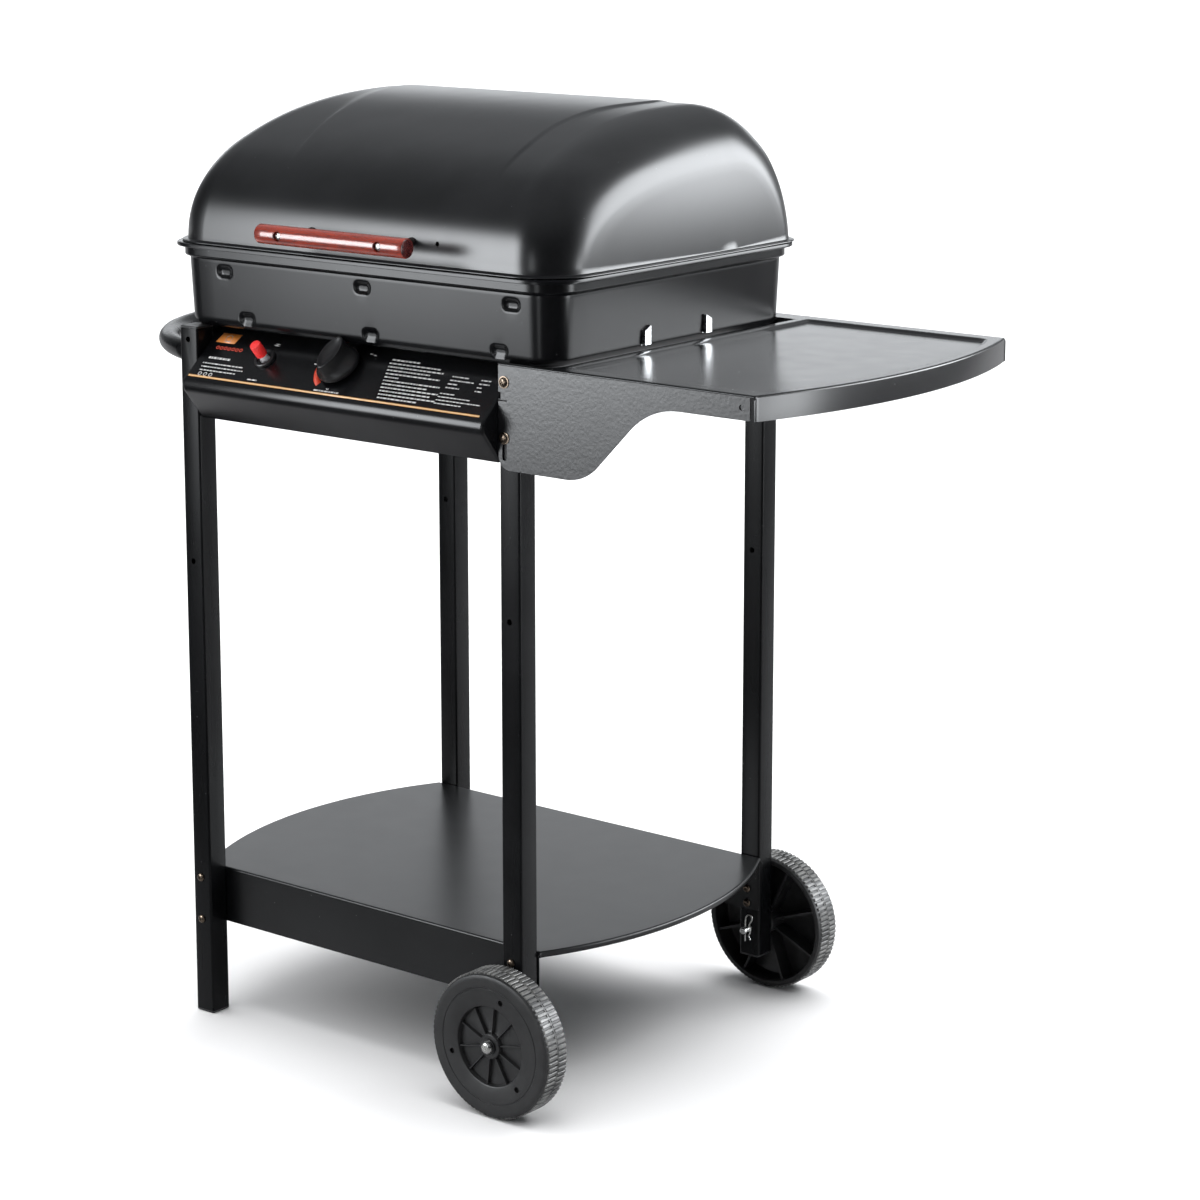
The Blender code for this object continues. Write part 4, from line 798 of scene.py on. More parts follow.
def panel_print():
    draw = random.Random(7)
    stripe = bmesh.new()
    ink_bar(stripe, -PANEL_HALF + 0.0045, 0.0604, 2 * PANEL_HALF - 0.013, 0.0024)
    piece("panel_stripe", stripe, ORANGE_INK, "cart")
    # A paler band along the middle of the orange stripe.
    core = bmesh.new()
    ink_bar(core, -PANEL_HALF + 0.0045, 0.0611, 2 * PANEL_HALF - 0.013, 0.0010, 0.0, 0.00018)
    piece("panel_stripe_core", core, PALE_STRIPE_CORE, "cart")

    badge = bmesh.new()
    ink_bar(badge, -0.1895, 0.0022, 0.0265, 0.0130, 0.003)
    piece("panel_badge", badge, AMBER_INK, "cart")
    mark = bmesh.new()
    ink_disc(mark, -0.1775, 0.0086, 0.0046, 0.0034)
    ink_bar(mark, -0.1825, 0.0125, 0.0100, 0.0010)
    piece("panel_badge_mark", mark, WHITE_INK, "cart")

    word = bmesh.new()
    for k in range(7):
        ink_disc(word, -0.1845 + 0.0055 * k, 0.0218 + 0.0004 * (k % 2), 0.0023, 0.0012, 0, 360, 16)
    piece("panel_wordless_ornament", word, RED_INK, "cart")

    white = bmesh.new()
    ink_text(white, draw, -0.1870, 0.0345, 0.030, 0.0026)
    for k, width in enumerate((0.058, 0.060, 0.050)):
        ink_text(white, draw, -0.1900 + 0.001 * k, 0.0428 + 0.0046 * k, width, 0.0014)
    for k in range(3):
        ink_disc(white, -0.1845 + 0.0075 * k, 0.0578, 0.0024, 0.0017, 0, 360, 20)
    ink_text(white, draw, -0.1175, 0.0560, 0.013, 0.0016)
    ink_bar(white, -0.1140, 0.0092, 0.0060, 0.0012, -0.004)
    ink_bar(white, -0.1120, 0.0074, 0.0048, 0.0010, -0.003)
    for x, down in ((-0.0455, 0.0256), (0.0160, 0.0040), (0.0215, 0.0052)):
        ink_bar(white, x, down, 0.0034, 0.0012)
    ink_disc(white, KNOB_X + 0.0005, 0.0535, 0.0021, 0.0014, 200, 340, 10)
    ink_text(white, draw, -0.0245, 0.0572, 0.0330, 0.0017)
    ink_text(white, draw, 0.0480, 0.0070, 0.036, 0.0019)
    widths = (0.068, 0.072, 0.056, 0.070, 0.018, 0.074, 0.058, 0.074, 0.066, 0.073, 0.052)
    for k, width in enumerate(widths):
        ink_text(white, draw, 0.0470 + 0.0012 * k, 0.0118 + 0.00435 * k, width, 0.00165)
    for k, (width, value) in enumerate(((0.022, 0.012), (0.030, 0.013), (0.013, 0.006), (0.017, 0.010))):
        ink_text(white, draw, 0.1330, 0.0180 + 0.0047 * k, width, 0.0014)
        ink_text(white, draw, 0.1700, 0.0180 + 0.0047 * k, value, 0.0014)
    for k, width in enumerate((0.018, 0.040, 0.056, 0.034)):
        ink_text(white, draw, 0.1310, 0.0400 + 0.0042 * k, width, 0.0012, 0.0009)
    piece("panel_small_print", white, WHITE_INK, "cart")

    red = bmesh.new()
    ink_disc(red, KNOB_X, KNOB_DOWN, 0.0305, 0.0240, 186, 238, 24)
    ink_disc(red, KNOB_X, KNOB_DOWN, 0.0285, 0.0240, 108, 126, 8)
    piece("knob_scale", red, RED_INK, "cart")


def control_knob():
    """Moulded knob: a round skirt that narrows to a lens-shaped grip with a dished end."""
    around, grip_x, grip_y = 96, 0.0112, 0.0212
    levels = ((0.97, 0.0, 0.0042), (1.0, 0.0, 0.0047), (1.0, 0.0, 0.0070), (0.985, 0.0, 0.0082),
              (0.950, 0.0, 0.0093), (0.985, 0.30, 0.0107), (0.995, 0.60, 0.0124), (1.03, 0.85, 0.0146),
              (1.04, 1.0, 0.0172), (1.01, 1.0, 0.0232), (0.985, 1.0, 0.0246), (0.95, 1.0, 0.0251),
              (0.90, 1.0, 0.0249), (0.82, 1.0, 0.0238), (0.65, 1.0, 0.0226), (0.40, 1.0, 0.0217),
              (0.15, 1.0, 0.0214))
    mesh = bmesh.new()
    rings = []
    for size, share, height in levels:
        ring = []
        for k in range(around):
            angle = 2 * math.pi * k / around
            u, v = math.cos(angle), math.sin(angle)
            grip = Vector((grip_x * math.copysign(abs(u) ** 1.22, u), grip_y * v))
            at = (Vector((u, v)) * KNOB_R).lerp(grip, share) * size
            ring.append(on_face(KNOB_X + at.x, KNOB_DOWN - at.y, height))
        rings.append(ring)
    loft(mesh, rings)
    piece("moulded_knob", mesh, PLASTIC, "knob", ["control_knob"], sharp=60)


def igniter():
    at = on_face(BUTTON_X, BUTTON_DOWN)
    ring = bmesh.new()
    turned(ring, [(0.0081, 0.0002), (0.0120, 0.0002), (0.0122, 0.0010), (0.0118, 0.0026),
                  (0.0110, 0.0034),
                  (0.0096, 0.0037), (0.0084, 0.0032), (0.0081, 0.0020)], at, FACE_NORMAL, 48)
    piece("igniter_ring", ring, PLASTIC, "cart", ["igniter_ring_nut"], sharp=40)
    cone = bmesh.new()
    spindle(cone, [(0.0054, -0.0160), (0.0054, 0.0006), (0.0052, 0.0018), (0.0037, 0.0070),
                   (0.0036, 0.0078)],
            at, FACE_NORMAL, 36)
    piece("igniter_stem", cone, PALE, "igniter_button")
    cap = bmesh.new()
    spindle(cap, [(0.0056, 0.0076), (0.0061, 0.0080), (0.0062, 0.0150), (0.0060, 0.0218),
                  (0.0056, 0.0228),
                  (0.0048, 0.0232)], at, FACE_NORMAL, 40)
    piece("igniter_cap", cap, RED, "igniter_button", ["igniter_button"], sharp=40)


# ---- firebox ------------------------------------------------------------------------------------
DIMPLES = [(x - BOX_X, 0.8072) for x in (-0.1683, 0.0214, 0.2130)]
DIMPLES += [(x - BOX_X, 0.7603) for x in (-0.1395, 0.0297, 0.1958)]
DIMPLE_W, DIMPLE_H, DIMPLE_ROUND, DIMPLE_DEPTH = 0.0200, 0.0125, 0.0055, 0.0030


def dimple(x, z):
    """Depth of the pressed dimples at a point of the front or back wall."""
    depth = 0.0
    for cx, cz in DIMPLES:
        dx = max(abs(x - cx) - DIMPLE_W / 2 + DIMPLE_ROUND, 0)
        dz = max(abs(z - cz) - DIMPLE_H / 2 + DIMPLE_ROUND, 0)
        depth = max(depth, smooth_step((DIMPLE_ROUND + 0.0016 - math.hypot(dx, dz)) / 0.0056))
    return DIMPLE_DEPTH * depth


def wall_stations():
    straight = RIM_X - RIM_CORNER
    made = set(round(v, 5) for v in spaced(-straight, straight, 0.024))
    for cx, _ in DIMPLES:
        made |= set(round(min(max(cx + d, -straight), straight), 5) for d in spaced(-0.0145, 0.0145, 0.00145))
    kept = []
    for value in sorted(made):
        if not kept or value - kept[-1] > 0.0006:
            kept.append(value)
    return kept


STATIONS = wall_stations()


def box_ring(inset, z, dent=False, steps=9):
    half_x, half_y, corner = RIM_X - inset, RIM_Y - inset, RIM_CORNER - inset
    flat_y = half_y - corner
    ring = [(x, -half_y + (dimple(x, z) if dent else 0)) for x in STATIONS]
    ring += arc((half_x - corner, -flat_y), corner, -90, 0, steps)[1:]
    ring += [(half_x, y) for y in spaced(-flat_y, flat_y, 0.03)[1:]]
    ring += arc((half_x - corner, flat_y), corner, 0, 90, steps)[1:]
    ring += [(x, half_y - (dimple(x, z) if dent else 0)) for x in reversed(STATIONS)][1:]
    ring += arc((-half_x + corner, flat_y), corner, 90, 180, steps)[1:]
    ring += [(-half_x, y) for y in spaced(flat_y, -flat_y, 0.03)[1:]] if flat_y > 0 else []
    ring += arc((-half_x + corner, -flat_y), corner, 180, 270, steps)[1:-1]
    return [Vector((BOX_X + x, BOX_Y + y, z)) for x, y in ring]


def firebox():
    wall = BAND + LEDGE
    low = wall + TAPER
    levels = []
    for k in range(7):
        angle = math.radians(15 * k)
        levels.append((low + FLOOR_RADIUS * (1 - math.sin(angle)),
                       BOX_BOTTOM + FLOOR_RADIUS * (1 - math.cos(angle))))
    heights = sorted(set(round(z, 5) for z in spaced(0.7595, 0.7690, 0.0012) + spaced(0.7690, 0.7985, 0.010)
                         + spaced(0.7985, 0.8165, 0.0012)))
    levels += [(low - TAPER * (z - 0.758) / (LEDGE_Z - 0.758), z) for z in heights]
    levels += [(wall + 0.0002, LEDGE_Z - 0.0012), (wall - 0.0006, LEDGE_Z - 0.0002),
               (wall - 0.0030, LEDGE_Z + 0.0008),
               (BAND + 0.0008, LEDGE_Z + 0.0014), (BAND, LEDGE_Z + 0.0024),
               (BAND, LEDGE_Z + 0.0032), (BAND, RIM_Z - 0.0042), (BAND, RIM_Z - 0.0034),
               (BAND - 0.0008, RIM_Z - 0.0018), (BAND - 0.0020, RIM_Z - 0.0013),
               (0.0016, RIM_Z - 0.0012),
               (0.0013, RIM_Z - 0.0022), (0.0011, RIM_Z - 0.0038), (0.0005, RIM_Z - 0.0041),
               (0.0, RIM_Z - 0.0036), (0.0, RIM_Z - 0.0014), (0.0004, RIM_Z - 0.0004), (0.0014, RIM_Z)]
    inner = [(BAND + SHEET - 0.0010, RIM_Z), (BAND + SHEET - 0.0002, RIM_Z - 0.0005),
             (BAND + SHEET, RIM_Z - 0.002),
             (BAND + SHEET, LEDGE_Z + 0.0038), (BAND + SHEET + 0.0008, LEDGE_Z + 0.0028),
             (wall + SHEET - 0.0008, LEDGE_Z + SHEET + 0.0006),
             (wall + SHEET + 0.0002, LEDGE_Z - 0.0006)]
    inner += [(low + SHEET - TAPER * (z - 0.758) / (LEDGE_Z - 0.758), z) for z in reversed(heights)]
    for k in range(6, -1, -1):
        angle = math.radians(15 * k)
        reach = FLOOR_RADIUS - SHEET
        inner.append((low + SHEET + reach * (1 - math.sin(angle)),
                      BOX_BOTTOM + SHEET + reach * (1 - math.cos(angle))))
    mesh = bmesh.new()
    loft(mesh, [box_ring(inset, z, z < LEDGE_Z - 0.0015) for inset, z in levels + inner])
    holes = bmesh.new()
    for x, y, radius in ((BOX_X, BOX_Y, 0.0150), (BOX_X - 0.020, BOX_Y - 0.030, 0.0045),
                         (BOX_X + 0.110, BOX_Y, 0.0120)):
        rod(holes, (x, y, BOX_BOTTOM - 0.002), (x, y, BOX_BOTTOM + SHEET + 0.002), radius, 32)
    for side in SIDES.values():
        centre = BOX_X + side * (RIM_X - wall - TAPER / 2)
        for y in TAB_Y:
            lean = 0.0045 * (1 if y < BOX_Y else -1)
            outline = [(y - 0.0058, TAB_Z - 0.0016), (y + 0.0058, TAB_Z - 0.0016),
                       (y + 0.0058, TAB_Z + 0.0150 + max(lean, 0)),
                       (y - 0.0058, TAB_Z + 0.0150 + max(-lean, 0))]
            prism(holes, outline, lambda u, v, w: (centre - 0.008 + w, u, v), 0.016)
    mesh = carve(mesh, holes)
    piece("pressed_firebox", mesh, BOX_PAINT, "cart", ["firebox"], sharp=40)


def grate_support(side):
    """Folded rail with two slanted tabs through the firebox wall."""
    sx = SIDES[side]
    wall = BOX_X + sx * (RIM_X - BAND - LEDGE - TAPER - SHEET - GAP)
    length = 0.150
    mesh = bmesh.new()
    far = wall - sx * 0.0200
    section = [(wall - sx * 0.0004, TAB_Z - 0.0010), (wall - sx * 0.0004, SUPPORT_Z), (far, SUPPORT_Z),
               (far, SUPPORT_Z - 0.0012), (wall - sx * 0.0014, SUPPORT_Z - 0.0012),
               (wall - sx * 0.0014, TAB_Z - 0.0010)]
    prism(mesh, section, lambda u, v, w: (u, BOX_Y - length + w, v), 2 * length)
    out = BOX_X + sx * (RIM_X - BAND - LEDGE + 0.0010)
    for y in TAB_Y:
        lean = 0.0045 * (1 if y < BOX_Y else -1)
        outline = [(y - 0.0046, TAB_Z - 0.0002), (y + 0.0046, TAB_Z - 0.0002),
                   (y + 0.0046, TAB_Z + 0.0138 + max(lean, 0)),
                   (y - 0.0046, TAB_Z + 0.0138 + max(-lean, 0))]
        prism(mesh, outline, lambda u, v, w: (wall - sx * 0.0008 + sx * w, u, v),
              abs(out - wall) + 0.0008)
    piece(f"folded_grate_support_{side}", mesh, SUPPORT_ZINC, "cart", [f"grate_support_{side}"],
          sharp=30)


def wire_ring(mesh, half_x, half_y, corner, z, wire, sides=12):
    ring = []
    for sx, sy, start in ((1, -1, -90), (1, 1, 0), (-1, 1, 90), (-1, -1, 180)):
        centre = (BOX_X + sx * (half_x - wire - corner), BOX_Y + sy * (half_y - wire - corner))
        ring += [Vector((x, y, z)) for x, y in arc(centre, corner, start, start + 90, 8)]
    count = len(ring)
    rings = []
    for k in range(count):
        along = (ring[(k + 1) % count] - ring[k - 1]).normalized()
        outward = along.cross(Z_AXIS)
        rings.append([ring[k] + outward * wire * math.cos(2 * math.pi * i / sides)
                      + Z_AXIS * wire * math.sin(2 * math.pi * i / sides) for i in range(sides)])
    loft(mesh, rings, closed=True)


def wire_grids():
    half_x, half_y = RIM_X - BAND - SHEET - GRID_GAP, RIM_Y - BAND - SHEET - GRID_GAP
    corner, z, wire = GRID_CORNER, LEDGE_Z + 0.0055, 0.0025
    mesh = bmesh.new()
    wire_ring(mesh, half_x, half_y, corner, z, wire)
    number = int((half_x - corner * 0.6) / 0.015)
    for k in range(-number, number + 1):
        x = BOX_X + k * 0.015
        rod(mesh, (x, BOX_Y - half_y + wire, z), (x, BOX_Y + half_y - wire, z), 0.8 * wire, 12)
    for y in (-0.09, 0.09):
        rod(mesh, (BOX_X - half_x + wire, BOX_Y + y, z - 0.0012),
            (BOX_X + half_x - wire, BOX_Y + y, z - 0.0012),
            0.6 * wire, 12)
    piece("wire_cooking_grid", mesh, CHROME, "cooking_grid", ["cooking_grid"], sharp=50)
    mesh = bmesh.new()
    wire = 0.0020
    wire_ring(mesh, 0.2250, 0.1650, 0.012, SUPPORT_Z + 0.0022, wire)
    number = int((0.2250 - 0.0072) / 0.030)
    for k in range(-number, number + 1):
        x = BOX_X + k * 0.030
        rod(mesh, (x, BOX_Y - 0.1635, SUPPORT_Z + 0.0022), (x, BOX_Y + 0.1635, SUPPORT_Z + 0.0022),
            0.8 * wire, 10)
    piece("wire_rock_grate", mesh, ZINC, "cart", ["rock_grate"], sharp=50)


def lava_rocks():
    """Bed of separate lumps of porous rock on the rock grate."""
    draw = random.Random(11)
    low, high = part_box("lava_rocks")
    low, high = low - CART, high - CART
    mesh = bmesh.new()
    columns, rows = 13, 9
    pitch_x, pitch_y = (high.x - low.x) / columns, (high.y - low.y) / rows
    for i in range(columns):
        for j in range(rows):
            lump = bmesh.new()
            bmesh.ops.create_icosphere(lump, subdivisions=3, radius=1)
            seed = Vector((draw.uniform(-50, 50), draw.uniform(-50, 50), draw.uniform(-50, 50)))
            size = Vector((pitch_x * draw.uniform(0.50, 0.62), pitch_y * draw.uniform(0.50, 0.62),
                           draw.uniform(0.0072, 0.0086)))
            spin = Matrix.Rotation(draw.uniform(0, 6.28), 3, "Z")
            centre = Vector((low.x + pitch_x * (i + 0.5), low.y + pitch_y * (j + 0.5), low.z + 0.0082))
            centre.x += draw.uniform(-0.003, 0.003)
            centre.y += draw.uniform(-0.003, 0.003)
            for v in lump.verts:
                rough = 1 + 0.28 * noise.noise(v.co * 1.3 + seed) + 0.12 * noise.noise(v.co * 3.7 + seed)
                p = spin @ Vector((v.co.x * size.x, v.co.y * size.y, 0)) * rough
                z = centre.z + v.co.z * size.z * rough
                v.co = Vector((min(max(centre.x + p.x, low.x), high.x),
                               min(max(centre.y + p.y, low.y), high.y),
                               min(max(z, low.z), high.z)))
            data = bpy.data.meshes.new("lump")
            lump.to_mesh(data)
            lump.free()
            mesh.from_mesh(data)
            bpy.data.meshes.remove(data)
    piece("lava_rock_lumps", mesh, ROCK, "cart", ["lava_rocks"])


# ---- lid ----------------------------------------------------------------------------------------
CREASES = {-1: ((-0.165, 0.119), (-0.152, 0.1225), (-0.118, 0.131), (-0.068, 0.144), (-0.008, 0.165),
                (0.031, 0.177), (0.066, 0.182), (0.105, 0.174), (0.150, 0.158)),
           1: ((-0.165, 0.154), (-0.154, 0.153), (-0.122, 0.1515), (-0.072, 0.146), (-0.020, 0.1455),
               (0.012, 0.151), (0.040, 0.158), (0.066, 0.160), (0.105, 0.155), (0.150, 0.148))}
CREASE_DEPTH, CREASE_WIDTH = 0.0016, 0.0060


def crease_drop(x, y, z):
    """How far the crown lies below its raised middle panel outside the two pressed creases."""
    panel = 1.0
    for side, line in CREASES.items():
        edge = blend_table(y, line)
        panel *= smooth_step(0.5 + (edge - side * (x - BOX_X)) / CREASE_WIDTH)
    return CREASE_DEPTH * smooth_step((z - 0.924) / 0.026) * (1 - panel)


def lid_stations(corner_steps=14, cap_steps=10, spans=230):
    """Lines round the lid, left to right: (side, part, share) with part cap, round or middle."""
    cap = [("cap", k / cap_steps) for k in range(cap_steps)]
    cap += [("round", k / corner_steps) for k in range(corner_steps + 1)]
    middle = [(1, "middle", -1 + 2 * k / spans) for k in range(1, spans)]
    return [(-1, *line) for line in cap] + middle + [(1, *line) for line in reversed(cap)]


def lid_point(station, turn, inset, pressed=False):
    """Point of the lid's shell; turn runs from 0 at the front edge to 1 at the back edge."""
    side, part, share = station
    c, s = math.cos(math.pi * turn), max(math.sin(math.pi * turn), 0.0)
    corner = LID_ROUND[0] + (LID_ROUND[1] - LID_ROUND[0]) * turn + LID_ROUND[2] * s - inset
    half_x, height = LID_X - inset, LID_HEIGHT - max(inset, 0)
    half_y = LID_Y + (LID_CROWN_Y if turn < 0.5 else -LID_CROWN_Y) - inset
    if part == "cap":
        x, half_y, height = half_x, share * (half_y - corner), share * (height - corner)
    elif part == "round":
        drop = corner * (1 - math.sin(math.pi / 2 * share))
        x = half_x - corner * (1 - math.cos(math.pi / 2 * share))
        half_y, height = half_y - drop, height - drop
    else:
        x = share * (half_x - corner)
    power = 2 / (LID_CURVE[1] + (LID_CURVE[0] - LID_CURVE[1]) * (1 + c) / 2)
    y = LID_CROWN_Y - half_y * math.copysign(abs(c) ** power, c)
    rise = height * s ** power
    crown = max(1 - (y / LID_Y) ** 2, 0) * (1 - (rise / LID_HEIGHT) ** 2)
    x *= side * (1 + LID_BULGE / LID_X * crown - LID_LEAN / LID_X * (rise / LID_HEIGHT) ** 2)
    if pressed and part != "cap":
        drop = crease_drop(BOX_X + x, BOX_Y + y, LID_BASE + rise)
        out = Vector((0, (y - LID_CROWN_Y) / half_y ** 2, rise / height ** 2)).normalized()
        y, rise = y - out.y * drop, rise - out.z * drop
    return Vector((BOX_X + x, BOX_Y + y, LID_BASE + rise))


def lid_front(z):
    """How far forward the lid's front wall is at a height."""
    power = 2 / LID_CURVE[0]
    s = ((z - LID_BASE) / LID_HEIGHT) ** (1 / power)
    return BOX_Y + LID_CROWN_Y - (LID_Y + LID_CROWN_Y) * (1 - s * s) ** (power / 2)


def lid_shell(mesh, inset, turns=84):
    grid = []
    for station in lid_stations():
        if station[1:] == ("cap", 0.0):
            grid.append([mesh.verts.new(lid_point(station, 0, inset))])
        else:
            grid.append([mesh.verts.new(lid_point(station, j / turns, inset,
                                                  True)) for j in range(turns + 1)])
    for left, right in zip(grid, grid[1:]):
        for j in range(turns):
            corners = [left[min(j, len(left) - 1)], right[min(j, len(right) - 1)],
                       right[min(j + 1, len(right) - 1)], left[min(j + 1, len(left) - 1)]]
            mesh.faces.new(list(dict.fromkeys(corners)))
    front = [line[0] for line in grid]
    back = [line[-1] for line in grid[1:-1]]
    return front + list(reversed(back))


def lid_edge(mesh, inset, z):
    stations = lid_stations()
    front = [lid_point(station, 0, inset) for station in stations]
    back = [lid_point(station, 1, inset) for station in stations[1:-1]]
    return [mesh.verts.new((p.x, p.y, z)) for p in front + list(reversed(back))]


def lid():
    mesh = bmesh.new()
    outer = lid_shell(mesh, 0)
    inner = lid_shell(mesh, SHEET)
    low = RIM_Z + 0.0008
    loops = [outer]
    for inset, z in ((-0.0003, LID_BASE - 0.0006), (-0.0012, LID_BASE - 0.0010),
                     (-0.0046, LID_BASE - 0.0011),
                     (-0.0056, LID_BASE - 0.0014), (-LID_FLANGE, LID_BASE - 0.0020),
                     (-LID_FLANGE, low + 0.0003),
                     (-0.0057, low), (-0.0050, low), (-0.0047, low + 0.0004), (-0.0046, low + 0.0012),
                     (-0.0005, low + 0.0014)):
        loops.append(lid_edge(mesh, inset, z))
    loops.append(inner)
    count = len(outer)
    for first, second in zip(loops, loops[1:]):
        for i in range(count):
            j = (i + 1) % count
            mesh.faces.new((first[i], first[j], second[j], second[i]))
    holes = bmesh.new()
    face = BOX_Y - LID_Y
    x = BAR_X + BAR_SCREWS / 2 + 0.0325
    rod(holes, (x, face - 0.004, BAR_Z + 0.0005), (x, face + 0.006, BAR_Z + 0.0005), 0.0024, 24)
    mesh = carve(mesh, holes)
    piece("pressed_lid", mesh, LID_PAINT, "lid", ["lid"], sharp=40)


def lid_handle():
    screws = (BAR_X - BAR_SCREWS / 2, BAR_X + BAR_SCREWS / 2)
    mesh = bmesh.new()
    soft = 0.0012
    ends = BAR_X - BAR_LENGTH / 2
    levels = [(BAR_R - soft, 0.0), (BAR_R - 0.4 * soft, 0.25 * soft), (BAR_R, soft)]
    levels += [(BAR_R, v) for v in spaced(0.01, BAR_LENGTH - 0.01, 0.021)]
    levels += [(BAR_R, BAR_LENGTH - soft), (BAR_R - 0.4 * soft, BAR_LENGTH - 0.25 * soft),
               (BAR_R - soft, BAR_LENGTH)]
    spindle(mesh, levels, (ends, BAR_Y, BAR_Z), X_AXIS, 48)
    bores = bmesh.new()
    for x in screws:
        spindle(bores, [(0.0052, -0.0120), (0.0052, -0.0052), (0.0023, -0.0052), (0.0023, 0.0120)],
                (x, BAR_Y, BAR_Z), Y_AXIS, 32)
    mesh = carve(mesh, bores)
    piece("turned_wood_handle", mesh, WOOD, "lid", ["lid_handle"], sharp=40)
    wall = lid_front(BAR_Z - 0.0040) + 0.0010
    for side, x in zip(("left", "right"), screws):
        post = bmesh.new()
        start, end = BAR_Y + BAR_R + 0.0001, wall - 0.0003
        turned(post, [(0.0023, 0), (0.0036, 0), (0.0041, 0.0005), (0.0041, end - start - 0.0022),
                      (0.0045, end - start - 0.0018), (0.0046, end - start), (0.0023, end - start)],
               (x, start, BAR_Z), Y_AXIS, 32)
        piece(f"turned_standoff_{side}", post, IRON, "lid", [f"handle_standoff_{side}"],
              sharp=35)
        cross_screw(f"bar_screw_{side}", (x, BAR_Y - 0.0054, BAR_Z), -Y_AXIS, 0.0042, 0.040, ZINC, "lid",
                    [f"handle_screw_{side}"])


